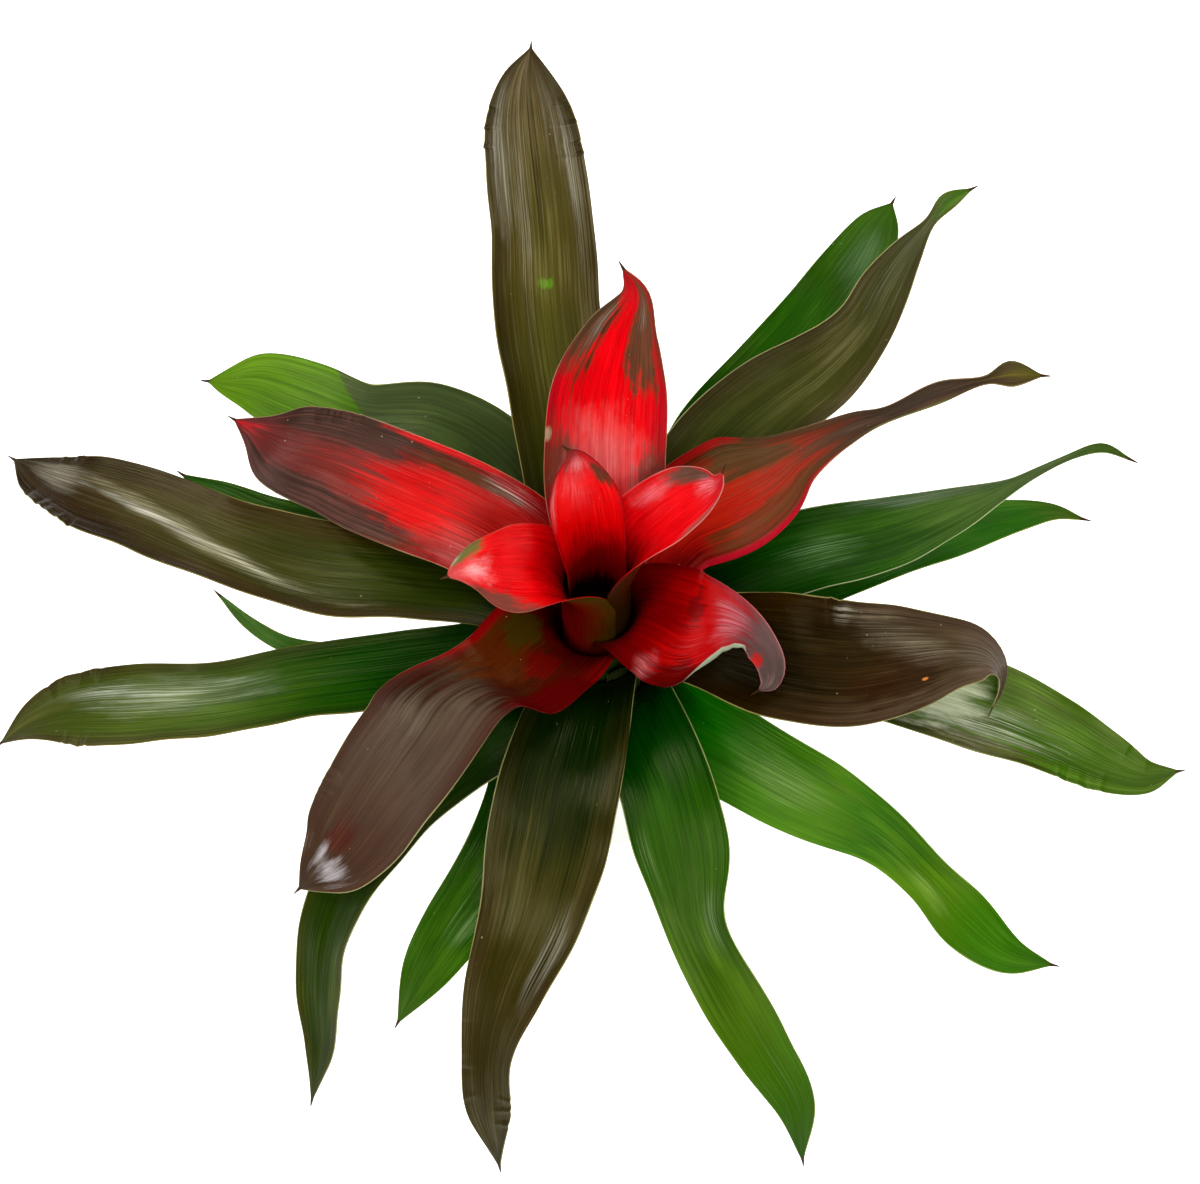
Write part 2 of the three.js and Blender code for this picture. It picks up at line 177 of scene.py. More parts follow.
# What a leaf takes over unless its own entry says otherwise.
PLAIN = dict(
    channel=CHANNEL, opening=OPENING_LENGTH, wave=1.0, streak=0.3, drift=0.2, tear=0.25, edge=(0.55, 0.95),
    veins=1.0, wax=SHEEN, sheen=0.12, tint=WARM_TINT, specular=0.16, ridge=0.0008, line=(176, 176, 96),
    plain=-0.2, patches=(), bloom=(), crimps=())
CUP = dict(PLAIN, slot="leaf_red", wrap=100, tint=PINK_TINT, wax=ROSE, veins=0.45, sheen=0.08, wave=0.3,
           streak=0.24, edge=(0.8, 1.0))
CRIMSON = dict(PLAIN, slot="leaf_crimson", wrap=80, tint=PINK_TINT, wax=ROSE)
RED_BRONZE = dict(PLAIN, slot="leaf_red_bronze", wrap=60, under=UNDER_BRONZE, drift=0.3)
BRONZE = dict(PLAIN, slot="leaf_bronze", wrap=60, under=UNDER_BRONZE, wave=0.9, streak=0.35,
              edge=(0.4, 1.0))
GREEN = dict(PLAIN, slot="leaf_green", wrap=40, wax=GREEN_WAX_SHEEN, under=UNDER_GREEN, wave=0.8, streak=0.26,
             edge=(0.7, 1.0))
DARK_GREEN = dict(GREEN, slot="leaf_dark_green", wave=0.9, streak=0.3, edge=(0.5, 1.0))

LEAVES = {}


def grow(name, base, azimuth, layer, neck, **own):
    """Adds a leaf. Its sheath has an azimuth, a layer and a neck at a height above the mix."""
    radius = FIRST_LAYER_RADIUS + LAYER_PITCH * layer
    LEAVES[name] = dict(base, azimuth=azimuth, layer=layer, radius=radius, neck=MIX_TOP + neck, **own)


# The leaves, from the innermost out. A blade's rows run from the neck to the tip: x, y, height above the mix,
# width, roll and swing, where the last ones are 0 if left out. A swing lets one margin run ahead of the
# other. The looks are colour runs for the underside, the middle and the margins, patches, waxy highlights
# (streaks that are partly waxy bloom and partly painted highlights), crimps, and a margin that rolls over
# (curl: start, end, reach, angle). Other positions along a blade run from 0 at the neck to 1 at the tip, and
# those across it from 0 to 1.
grow("cup_back", CUP, 100, 0, 98, channel=62, under=UNDER_RED, wave=0.25, streak=0.22, edge=(0.75, 1.0),
    line=(120, 14, 16), plain=0.3, throat=(-0.38, -0.17),
    blade=[(-4, 15, 116, 39), (-6, 20, 135, 34), (-8, 23, 150, 21), (-9, 25, 157, 10), (-12, 25, 162)],
    middle=[(0, 140, 0, 2), (14, 186, 0, 4), (30, 246, 0, 3), (70, 255, 0, 6), (90, 206, 24, 30),
        (100, 120, 40, 36)],
    margin=[(0, 110, 0, 2), (30, 196, 2, 8), (60, 214, 6, 14), (90, 160, 20, 24), (100, 96, 50, 40)],
    patches=[patch(14, 74, 16, 14, (84, 50, 26), 0.95, tear=0.6), patch(80, 90, 12, 10, (110, 50, 40), 0.6)],
    bloom=[bloom(60, 68, 30, 22, PINK_WAX_HIGHLIGHT, 0.5, full=0.15),
        bloom(50, 86, 30, 10, (255, 196, 196), 0.8, full=0.2), bloom(96, 60, 8, 24, PINK_WAX_HIGHLIGHT, 0.7, full=0.3)])
grow("cup_right", CUP, 20, 1, 96, channel=42, line=(222, 140, 130), plain=0.2, throat=(-0.1, 0.12),
    blade=[(20, 11, 113, 42), (34, 19, 125, 37), (44, 21, 133, 26), (50, 22, 139, 13), (52, 25, 143)],
    # The dark olive start of this underside run is partly the leaf's own colour and partly painted shade on the
    # cup's outer wall.
    under=[(0, 44, 28, 1), (30, 84, 22, 6), (80, 150, 60, 50)],
    middle=[(0, 110, 0, 2), (20, 176, 0, 4), (40, 224, 2, 10), (70, 234, 10, 18), (100, 214, 36, 44)],
    patches=[patch(86, 75, 17, 20, (88, 70, 56), 0.95, tear=0.7, ragged=0.9),
        patch(2, 74, 12, 24, (150, 84, 78), 0.7)],
    bloom=[bloom(60, 84, 34, 14, (255, 170, 178), 0.7, full=0.2),
        bloom(84, 50, 14, 18, (255, 150, 160), 0.75, full=0.3)])
grow("cup_left", CUP, 200, 2, 93, channel=34, back=(0.66, 1.0, (66, 50, 1)), line=(170, 90, 70), plain=0.25,
    throat=(-0.1, 0.12),
    blade=[(-25, -5, 107, 48, -10), (-39, -7, 113, 43, -15), (-50, -8, 118, 28, -15), (-58, -11, 122, 12),
        (-62, -14, 125)],
    under=[(0, 124, 6, 2), (30, 130, 12, 6), (80, 150, 60, 50)],
    middle=[(0, 110, 0, 2), (20, 172, 0, 4), (40, 212, 2, 6), (75, 232, 8, 14), (100, 232, 90, 90)],
    patches=[patch(100, 64, 32, 34, (104, 66, 54), 0.9, tear=0.6),
        patch(0, 82, 32, 17, (98, 110, 52), 0.95, tear=0.5)],
    bloom=[bloom(50, 78, 30, 18, (255, 204, 202), 0.85, full=0.5),
        bloom(4, 90, 8, 8, (226, 230, 206), 0.7, full=0.5)])
grow("mid_right_front", CRIMSON, 340, 3, 66, channel=18, opening=20, wave=0.3, streak=0.26, edge=(0.82, 1.0),
    veins=0.4, sheen=0.05, ridge=0.0005, line=(226, 130, 130), plain=0.4, curl=(0.4, 0.76, 5.5, 125),
    blade=[(20, -8, 79, 47, 6), (29, -16, 86, 53, 4, 8), (38, -23, 91, 56, 0, -4), (46, -23, 94, 47, 0, -14),
        (54, -22, 95, 35, 0, -8), (63, -24, 93, 23, 5), (70, -29, 88, 16, 15), (74, -35, 82, 13, 30),
        (73, -40, 77, 10, 30), (69, -42, 75, 0, 30)],
    under=[(0, 84, 14, 4), (30, 110, 40, 20), (42, 150, 164, 130), (76, 176, 184, 156), (80, 210, 24, 28),
        (100, 160, 130, 120)],
    middle=[(0, 70, 1, 2), (10, 100, 0, 2), (28, 142, 0, 1), (42, 190, 1, 2), (54, 186, 6, 10),
        (62, 146, 34, 40), (70, 104, 74, 72), (90, 92, 74, 70), (100, 130, 108, 100)],
    margin=[(0, 70, 1, 2), (30, 120, 0, 2), (45, 112, 2, 6), (60, 156, 24, 34), (72, 128, 74, 76),
        (100, 134, 110, 104)],
    patches=[patch(3, 44, 24, 12, (60, 1, 0), 0.85),
        patch(70, 42, 20, 7, (96, 8, 8), 0.7, tear=1.4, ragged=1.8),
        patch(0, 80, 40, 5.5, (206, 30, 24), 0.9, tear=0.7, ragged=1.4)],
    bloom=[bloom(10, 30, 20, 8, PINK_WAX_HIGHLIGHT, 0.7, full=0.2),
        bloom(60, 60, 40, 10, (222, 150, 160), 0.75, full=0.15)])
grow("mid_back", CRIMSON, 80, 4, 64, wrap=60, under=UNDER_BRONZE, wave=0.6, streak=0.4, drift=0.3, tear=0.55,
    edge=(0.6, 0.98), line=(200, 150, 110),
    blade=[(4, 41, 94, 54), (4, 56, 117, 54), (6, 70, 142, 50), (11, 84, 160, 33), (15, 90, 169, 20),
        (16, 94, 176, 12), (11, 99, 184)],
    middle=[(0, 156, 2, 8), (30, 244, 18, 22), (42, 255, 48, 52), (52, 255, 2, 14), (80, 248, 2, 14),
        (95, 210, 12, 22), (100, 170, 20, 26)],
    margin=[(0, 136, 2, 10), (30, 166, 18, 26), (46, 140, 40, 34), (55, 196, 10, 28), (66, 190, 14, 30),
        (74, 134, 40, 28), (92, 104, 48, 32), (100, 156, 32, 34)],
    patches=[patch(24, 82, 20, 22, (84, 70, 46), 0.92, tear=1.1, ragged=1.8),
        patch(90, 79, 26, 17, (64, 58, 36), 0.95, tear=1.1, ragged=1.5),
        patch(86, 36, 18, 13, (116, 60, 40), 0.9, tear=1.2, ragged=1.8),
        patch(12, 34, 18, 12, (118, 60, 44), 0.85, tear=1.2, ragged=1.8), patch(99, 47, 5, 3, CREAM, 0.6)],
    bloom=[bloom(50, 40, 46, 20, (255, 140, 136), 0.85, full=0.45), bloom(62, 20, 30, 10, (250, 170, 160), 0.5),
        bloom(26, 88, 10, 8, WAX_HIGHLIGHT, 0.8), bloom(84, 80, 8, 16, WAX_HIGHLIGHT, 0.7)])
grow("mid_left_front", RED_BRONZE, 220, 5, 58, wrap=80, wave=0.8, streak=0.34, drift=0.25, edge=(0.6, 1.05),
    veins=0.55, sheen=0.05, specular=0.07, ridge=0.0004, line=(206, 200, 130), plain=0.36,
    blade=[(-22, -25, 79, 56, 5), (-38, -44, 85, 52, 5, 24), (-49, -45, 87, 42, 0, 38),
        (-63, -52, 84, 57, 0, 30), (-74, -65, 75, 56, 0, 5), (-91, -80, 56, 53), (-111, -99, 33, 41),
        (-123, -106, 24, 18), (-129, -109, 17)],
    middle=[(0, 56, 1, 1), (10, 84, 3, 1), (20, 64, 18, 1), (30, 60, 16, 5), (36, 56, 34, 22), (45, 80, 62, 50),
        (60, 90, 72, 58), (80, 74, 50, 38), (100, 62, 44, 32)],
    margin=[(0, 120, 1, 3), (15, 136, 2, 6), (30, 110, 4, 7), (36, 70, 32, 24), (70, 72, 50, 40),
        (100, 80, 56, 42)],
    patches=[patch(28, 22, 30, 13, (88, 34, 2), 0.8, tear=1.2, ragged=2.2),
        patch(26, 14, 20, 7, (54, 52, 3), 0.75, tear=1.4, ragged=2.4), patch(92, 24, 30, 12, (84, 1, 2), 0.95),
        patch(56, 18, 20, 5, (104, 5, 3), 0.85, tear=1.4, ragged=2.0),
        patch(0, 22, 8, 20, (140, 3, 6), 0.95, tear=0.5, ragged=0.5),
        patch(42, 84, 16, 7, (86, 30, 24), 0.6, tear=1.2)],
    bloom=[bloom(56, 91, 40, 5, (240, 234, 236), 0.9, tear=1.4, ragged=2.4, full=0.3),
        bloom(30, 50, 30, 14, WAX_HIGHLIGHT, 0.15)],
    crimps=[crimp(70, 80, -1)])
grow("mid_right_back", RED_BRONZE, 40, 6, 55, wave=0.6, streak=0.4, tear=0.5, edge=(0.5, 0.95),
    wax=(190, 110, 90), tint=PINK_TINT, specular=0.12, line=(190, 150, 110), plain=0.34,
    blade=[(36, 38, 74, 49, 8), (61, 46, 87, 56, 4), (75, 52, 93, 44, 6), (87, 60, 97, 26, 10),
        (113, 73, 103, 12, 20), (126, 77, 105, 7, 25), (150, 87, 108, 10, 25), (171, 92, 110, 4, 20),
        (181, 94, 111, 14), (194, 94, 110)],
    middle=[(0, 96, 2, 3), (12, 168, 14, 8), (30, 196, 34, 14), (40, 168, 46, 26), (50, 104, 52, 32),
        (60, 56, 44, 26), (80, 66, 51, 38), (90, 78, 62, 38), (100, 84, 84, 22)],
    margin=[(0, 170, 5, 12), (12, 124, 20, 12), (22, 80, 40, 12), (50, 68, 50, 26), (75, 76, 62, 44),
        (92, 80, 80, 30), (100, 72, 76, 22)],
    patches=[patch(78, 36, 22, 13, (84, 68, 36), 0.9, ragged=1.8), patch(98, 26, 6, 16, (180, 14, 20), 0.8),
        patch(20, 36, 14, 16, (90, 58, 24), 0.75, ragged=1.6),
        patch(0, 30, 8, 30, (190, 12, 36), 1.0, tear=0.3, ragged=0.3), patch(95, 66, 20, 14, (58, 46, 30), 0.8),
        patch(0, 72, 14, 12, (112, 122, 60), 0.7)],
    bloom=[bloom(50, 70, 50, 24, (200, 186, 180), 0.08)])
grow("mid_left_back", RED_BRONZE, 140, 7, 52, wave=0.9, streak=0.42, drift=0.35, tear=0.5, edge=(0.4, 0.88),
    veins=0.8, wax=(214, 120, 110), tint=PINK_TINT, line=(190, 160, 110),
    blade=[(-34, 26, 74, 50), (-57, 35, 86, 52), (-85, 46, 91, 52, -10), (-115, 60, 92, 47, -10),
        (-138, 69, 90, 39, -5), (-150, 79, 86, 18), (-161, 87, 84)],
    middle=[(0, 130, 1, 6), (12, 180, 14, 14), (30, 186, 30, 24), (42, 216, 14, 12), (56, 202, 14, 12),
        (64, 128, 38, 30), (80, 96, 42, 36), (92, 112, 36, 34), (100, 180, 16, 26)],
    margin=[(0, 176, 5, 10), (30, 154, 8, 12), (42, 104, 34, 16), (55, 62, 42, 28), (80, 60, 42, 36),
        (95, 84, 38, 32), (100, 126, 30, 30)],
    patches=[patch(15, 36, 7, 20, (78, 50, 12), 0.9, tear=0.5),
        patch(14, 68, 24, 26, (62, 44, 34), 0.95, tear=0.6),
        patch(86, 72, 24, 30, (60, 42, 34), 0.95, tear=0.8, ragged=1.8),
        patch(60, 20, 16, 8, (120, 50, 34), 0.6, tear=1.2, ragged=1.8),
        patch(2, 42, 6, 20, (220, 24, 30), 0.9)],
    bloom=[bloom(12, 26, 14, 10, (250, 220, 210), 0.8), bloom(76, 30, 26, 18, (226, 120, 112), 0.65, full=0.3)],
    crimps=[crimp(66, 77, -1, 6, depth=1.2)])
grow("outer_right", BRONZE, 340, 8, 50, wave=0.8, streak=0.3, edge=(0.35, 0.95), sheen=0.04, specular=0.05,
    line=(186, 176, 104),
    blade=[(48, -15, 64, 50), (78, -26, 73, 58, 15), (106, -31, 76, 57, 20), (131, -28, 76, 47, 20),
        (153, -23, 72, 32, 18), (168, -22, 66, 25, 5), (174, -27, 62, 18), (174, -34, 58, 9), (171, -40, 54)],
    under=[(0, 60, 70, 30), (60, 104, 110, 70), (80, 150, 166, 120), (100, 176, 184, 130)],
    middle=[(0, 18, 10, 0), (40, 22, 12, 0), (60, 46, 30, 6), (80, 70, 54, 34), (100, 100, 82, 70)],
    margin=[(0, 26, 14, 0), (40, 44, 27, 2), (80, 80, 62, 46), (100, 104, 84, 74)],
    patches=[patch(30, 62, 30, 12, (44, 18, 3), 0.75, tear=1.2, ragged=1.8),
        patch(27, 69, 2, 1, (220, 130, 60), 0.9, tear=0.0, drift=0.0)],
    bloom=[bloom(70, 66, 26, 18, (160, 148, 122), 0.6, slope=-1.5, full=0.1),
        bloom(50, 84, 40, 8, (150, 138, 122), 0.5, full=0.2), bloom(90, 50, 10, 4, WAX_HIGHLIGHT, 0.6),
        bloom(60, 90, 40, 6, WAX_HIGHLIGHT, 0.4)],
    crimps=[crimp(44, 52, 1, 2, depth=1.8, reach=10)])
grow("outer_left", BRONZE, 180, 8, 51, wave=1.0, edge=(0.35, 0.95), sheen=0.07, line=(176, 160, 90),
    blade=[(-45, 8, 67, 48), (-80, 9, 76, 50), (-122, 11, 82, 52), (-163, 22, 86, 48), (-194, 38, 84, 46),
        (-226, 53, 78, 42), (-248, 66, 72, 24), (-261, 76, 68)],
    middle=[(0, 24, 42, 1), (30, 40, 50, 2), (60, 58, 54, 12), (90, 50, 34, 14), (100, 44, 30, 14)],
    margin=[(0, 34, 40, 3), (40, 54, 40, 8), (80, 40, 27, 10), (100, 36, 24, 10)],
    patches=[patch(80, 82, 20, 14, (40, 22, 8), 0.7)],
    bloom=[bloom(52, 64, 14, 36, (206, 200, 160), 0.75, slope=-0.9, full=0.1),
        bloom(48, 72, 6, 20, (244, 242, 226), 0.75, slope=-0.7, full=0.1),
        bloom(62, 52, 5, 12, (226, 226, 196), 0.7, slope=-1.2), bloom(40, 90, 30, 8, WAX_HIGHLIGHT, 0.75, full=0.2)],
    crimps=[crimp(80, 93, 1, 6), crimp(87, 93, -1, 3)])
grow("outer_back", BRONZE, 100, 9, 47, sheen=0.18, line=(186, 170, 96),
    blade=[(-9, 54, 66, 46), (-17, 97, 83, 48), (-23, 136, 98, 49), (-25, 168, 110, 48), (-28, 198, 118, 46),
        (-31, 226, 122, 40), (-32, 247, 123, 24), (-31, 264, 123)],
    middle=[(0, 32, 42, 3), (30, 54, 52, 5), (55, 70, 62, 12), (80, 70, 58, 20), (100, 58, 42, 20)],
    margin=[(0, 36, 40, 4), (35, 50, 42, 10), (70, 52, 40, 18), (100, 50, 38, 22)],
    patches=[patch(50, 50, 16, 45, (74, 72, 10), 0.8, tear=0.5, inner=0.0),
        patch(50, 84, 5, 34, (48, 38, 4), 0.95, tear=0.3, drift=0.1, ragged=0.3),
        patch(48, 53.5, 8, 1.2, (78, 124, 6), 0.9, tear=1.8, ragged=3.0)],
    bloom=[bloom(84, 76, 14, 22, WAX_HIGHLIGHT, 0.7, full=0.1), bloom(66, 70, 12, 30, WAX_HIGHLIGHT, 0.5),
        bloom(14, 72, 10, 20, WAX_HIGHLIGHT, 0.7, full=0.1), bloom(30, 84, 12, 12, WAX_HIGHLIGHT, 0.35)],
    crimps=[crimp(79, 87, 1, 3, depth=2.2), crimp(75, 90, -1, depth=2.8, reach=12)])
grow("outer_front", BRONZE, 260, 9, 44, under=UNDER_GREEN, streak=0.3, line=(186, 180, 110),
    blade=[(-7, -42, 57, 47), (-15, -76, 59, 54), (-20, -100, 54, 54), (-28, -132, 41, 46), (-40, -157, 21, 34),
        (-47, -177, -3, 23), (-47, -195, -25, 20), (-43, -212, -48)],
    middle=[(0, 5, 26, 0), (20, 9, 30, 0), (32, 30, 36, 2), (45, 56, 52, 8), (70, 54, 46, 12),
        (100, 44, 38, 12)],
    margin=[(0, 6, 25, 0), (30, 45, 40, 7), (60, 62, 50, 22), (100, 48, 42, 19)],
    bloom=[bloom(80, 56, 14, 14, WAX_HIGHLIGHT, 0.6)],
    crimps=[crimp(70, 86, -1, 4, depth=0.5), crimp(84, 93, 1, 3)])
grow("outer_right_back", BRONZE, 60, 10, 43, wrap=40, under=UNDER_GREEN, wave=0.7, edge=(0.35, 1.0), sheen=0.18,
    specular=0.12, line=(190, 180, 110),
    blade=[(32, 46, 60, 46), (55, 77, 74, 48), (79, 96, 84, 45), (99, 109, 90, 38, 8), (118, 128, 95, 28, 15),
        (129, 148, 98, 24, 15), (140, 166, 101, 15, 12), (151, 181, 103, 5, 8), (160, 192, 104, 9),
        (170, 198, 104)],
    middle=[(0, 26, 40, 1), (30, 46, 54, 5), (60, 58, 58, 14), (80, 64, 66, 32), (92, 86, 84, 58),
        (95, 52, 100, 8), (100, 62, 112, 10)],
    margin=[(0, 28, 40, 3), (40, 52, 44, 16), (80, 66, 60, 34), (93, 60, 70, 22), (100, 80, 100, 22)],
    bloom=[bloom(50, 75, 40, 16, WAX_HIGHLIGHT, 0.2)])
grow("green_left", DARK_GREEN, 200, 10, 42, wrap=60, line=(160, 136, 66),
    blade=[(-46, -16, 52, 38), (-84, -23, 54, 38), (-130, -31, 55, 38), (-168, -36, 51, 36),
        (-205, -34, 41, 40), (-233, -30, 30, 34), (-252, -33, 23, 19), (-265, -39, 16)],
    middle=[(0, 8, 66, 0), (28, 14, 76, 0), (50, 50, 82, 8), (70, 72, 92, 26), (85, 66, 78, 20),
        (100, 70, 66, 28)],
    margin=[(0, 12, 60, 2), (35, 32, 60, 5), (65, 62, 60, 22), (100, 66, 56, 28)],
    bloom=[bloom(40, 66, 30, 22, (216, 222, 198), 0.8, full=0.1), bloom(30, 80, 14, 12, (226, 230, 210), 0.7)],
    crimps=[crimp(80, 91, -1, 6, depth=1.2), crimp(80, 87, 1, 4)])
grow("green_right_twist", DARK_GREEN, 20, 11, 36, wave=0.5, streak=0.28, edge=(0.6, 1.0), specular=0.1,
    line=(200, 208, 150),
    blade=[(46, 18, 47, 40, -10), (70, 27, 54, 42), (96, 33, 60, 42), (128, 39, 64, 37), (160, 50, 69, 21, 10),
        (183, 60, 72, 7, 20), (195, 66, 74, 4, 25), (210, 73, 76, 3, 25), (225, 77, 77, 5, 10), (236, 72, 76)],
    middle=[(0, 6, 42, 1), (30, 12, 62, 1), (50, 32, 76, 6), (66, 60, 88, 32), (85, 84, 102, 58),
        (94, 62, 92, 28), (100, 62, 82, 24)],
    patches=[patch(40, 50, 30, 10, (14, 56, 2), 0.35, tear=1.2, ragged=1.0)],
    bloom=[bloom(50, 36, 30, 10, (150, 190, 130), 0.6), bloom(95, 60, 25, 20, (166, 168, 158), 0.55, full=0.1)])
grow("green_front_left", GREEN, 240, 11, 37, streak=0.28, edge=(0.5, 1.0), specular=0.07, line=(214, 214, 150),
    blade=[(-30, -42, 46, 40), (-56, -61, 47, 38), (-84, -83, 39, 36), (-105, -106, 26, 33),
        (-117, -127, 9, 30), (-121, -147, -9, 26), (-121, -165, -27, 18), (-126, -182, -48)],
    middle=[(0, 4, 46, 0), (40, 28, 54, 1), (75, 38, 58, 0), (100, 44, 54, 4)],
    margin=[(0, 8, 52, 1), (50, 46, 58, 4), (75, 60, 62, 14), (100, 58, 54, 16)])
grow("green_front_right", GREEN, 300, 12, 31, sheen=0.06, line=(196, 200, 120),
    blade=[(17, -41, 45, 42), (29, -74, 51, 42), (36, -103, 46, 42), (42, -134, 34, 27), (57, -159, 18, 28),
        (71, -177, 0, 25), (85, -194, -20, 18), (89, -211, -42)],
    middle=[(0, 2, 60, 0), (20, 2, 56, 0), (36, 36, 80, 0), (50, 42, 82, 0), (65, 74, 108, 14), (85, 54, 98, 4),
        (100, 42, 86, 4)],
    bloom=[bloom(75, 50, 20, 10, (170, 190, 140), 0.4), bloom(14, 38, 12, 10, (150, 176, 110), 0.4)])
grow("green_left_back", GREEN, 120, 12, 34, wave=0.5, streak=0.2, drift=0.08, edge=(0.6, 1.0),
    line=(170, 176, 90), fold=(0.735, 0.27),
    blade=[(-26, 44, 46, 44), (-46, 81, 54, 44), (-76, 100, 58, 41), (-107, 103, 57, 36), (-135, 117, 53, 38),
        (-158, 129, 48, 31), (-173, 132, 44, 14), (-181, 134, 42)],
    middle=[(0, 24, 42, 6), (35, 44, 62, 20), (60, 64, 80, 42), (100, 66, 84, 40)],
    folded=[(50, 52, 96, 2), (75, 70, 114, 6), (100, 88, 130, 10)])
grow("green_right_front", GREEN, 320, 13, 28, streak=0.28, line=(186, 206, 110),
    blade=[(35, -41, 41, 42), (60, -60, 47, 42, 15), (91, -79, 47, 38, 15), (120, -93, 39, 27, 15),
        (141, -108, 27, 22, 15), (159, -121, 10, 26, 10), (178, -132, -3, 18), (198, -134, -10)],
    middle=[(0, 16, 124, 0), (16, 14, 108, 0), (30, 48, 104, 4), (45, 72, 122, 10), (55, 38, 98, 1),
        (70, 84, 128, 15), (85, 52, 110, 4), (100, 52, 106, 8)],
    bloom=[bloom(50, 36, 35, 12, (190, 208, 140), 0.4, full=0.1),
        bloom(34, 70, 20, 8, (176, 208, 100), 0.6, full=0.2)])
grow("green_left_sliver", DARK_GREEN, 160, 13, 28, wave=0.5, edge=(0.55, 0.95),
    blade=[(-46, 21, 41, 38), (-82, 33, 49, 36), (-118, 40, 53, 34), (-149, 50, 54, 30), (-172, 65, 54, 18),
        (-187, 76, 54)],
    middle=[(0, 14, 48, 4), (50, 18, 62, 4), (100, 34, 84, 10)])
grow("green_right_far", DARK_GREEN, 0, 14, 24, sheen=0.2, specular=0.3, line=(186, 186, 110),
    blade=[(50, -6, 36, 40, 5), (84, -14, 47, 41), (125, -26, 53, 42), (170, -39, 50, 42), (199, -48, 41, 36),
        (222, -56, 32, 28), (240, -60, 26, 16), (255, -56, 22)],
    middle=[(0, 10, 48, 2), (35, 34, 66, 4), (60, 54, 80, 12), (80, 58, 98, 6), (100, 62, 92, 14)],
    patches=[patch(6, 60, 24, 20, (62, 58, 22), 0.8, tear=1.0), patch(90, 74, 20, 20, (66, 96, 12), 0.7)],
    bloom=[bloom(55, 50, 50, 14, (236, 242, 204), 0.95, inner=0.4, full=0.65),
        bloom(36, 60, 34, 18, (240, 242, 220), 0.85, tear=1.3)],
    crimps=[crimp(76, 86, -1, depth=0.6), crimp(88, 94, 1, 2, depth=0.6)])
grow("green_left_curl", GREEN, 200, 14, 23, wave=0.3, streak=0.3, edge=(0.55, 0.95),
    blade=[(-46, -11, 34, 28), (-80, -14, 40, 24), (-112, -12, 43, 18), (-137, -6, 45, 10), (-154, 5, 45, 7),
        (-168, 19, 45)],
    under=[(0, 60, 100, 30), (60, 120, 150, 80), (100, 140, 170, 96)],
    middle=[(0, 14, 48, 4), (50, 56, 110, 24), (100, 96, 140, 60)])
grow("green_right_back", GREEN, 60, 15, 21, specular=0.08, line=(150, 170, 70),
    blade=[(34, 56, 42, 42), (54, 95, 53, 42), (78, 124, 59, 40), (102, 153, 64, 38), (120, 180, 68, 33),
        (132, 203, 70, 20), (138, 214, 71)],
    middle=[(0, 8, 54, 0), (40, 20, 64, 0), (70, 32, 74, 0), (100, 46, 86, 5)],
    # The darker of these two patches is a painted shadow across the middle of the blade.
    patches=[patch(70, 62, 40, 16, (36, 92, 4), 0.7), patch(20, 50, 30, 20, (10, 44, 0), 0.7)],
    bloom=[bloom(50, 86, 40, 10, (140, 176, 126), 0.5, full=0.2)])
grow("green_front_small", GREEN, 240, 15, 20, line=(170, 176, 90),
    blade=[(-24, -50, 32, 40), (-35, -84, 28, 36), (-50, -108, 16, 33), (-65, -124, 0, 28),
        (-77, -137, -17, 20), (-88, -151, -35)],
    middle=[(0, 10, 54, 1), (40, 26, 70, 1), (80, 52, 98, 6), (100, 60, 100, 14)],
    bloom=[bloom(60, 66, 30, 12, (150, 180, 120), 0.6)])
grow("green_right_low", GREEN, 20, 16, 17, wave=0.6, line=(176, 190, 100),
    blade=[(50, 18, 27, 38), (90, 29, 37, 34), (130, 42, 43, 30), (166, 54, 45, 25), (192, 61, 44, 16),
        (208, 63, 43, 8), (219, 60, 43)],
    middle=[(0, 8, 60, 1), (50, 20, 86, 2), (85, 32, 96, 4), (100, 66, 90, 24)])


def smooth(t):
    x = np.clip(t, 0.0, 1.0)
    return x * x * (3 - 2 * x)


def bell(x, centre, spread):
    return np.exp(-(((x - centre) / spread) ** 2))


def ring_point(radius, azimuth, z):
    a = math.radians(azimuth)
    return np.array([radius * math.cos(a), radius * math.sin(a), z])


def unit(vector):
    return vector / np.linalg.norm(vector)


def turn(vector, axis, degrees):
    a = math.radians(degrees)
    return vector * math.cos(a) + np.cross(axis, vector) * math.sin(a)


def columns():
    return 0.5 - 0.5 * np.cos(np.pi * np.arange(COLUMNS + 1) / COLUMNS)


class Path:
    """Catmull-Rom through rows of numbers, by default spaced by the distance between their first three."""

    def __init__(self, rows, knots=None):
        self.rows = np.array(rows, float)
        steps = np.linalg.norm(np.diff(self.rows[:, :3], axis=0), axis=1)
        self.knots = np.concatenate([[0.0], np.cumsum(steps)]) if knots is None else np.array(knots)
        self.length = self.knots[-1]
        index = np.arange(len(rows))
        low, high = np.maximum(index - 1, 0), np.minimum(index + 1, len(rows) - 1)
        self.slopes = (self.rows[high] - self.rows[low]) / (self.knots[high] - self.knots[low])[:, None]

    def at(self, distance):
        i = int(np.searchsorted(self.knots[1:-1], distance, side="left"))
        span = self.knots[i + 1] - self.knots[i]
        t = (distance - self.knots[i]) / span
        return (
            self.rows[i] * (2 * t**3 - 3 * t**2 + 1)
            + self.rows[i + 1] * (3 * t**2 - 2 * t**3)
            + self.slopes[i] * span * (t**3 - 2 * t**2 + t)
            + self.slopes[i + 1] * span * (t**3 - t**2)
        )


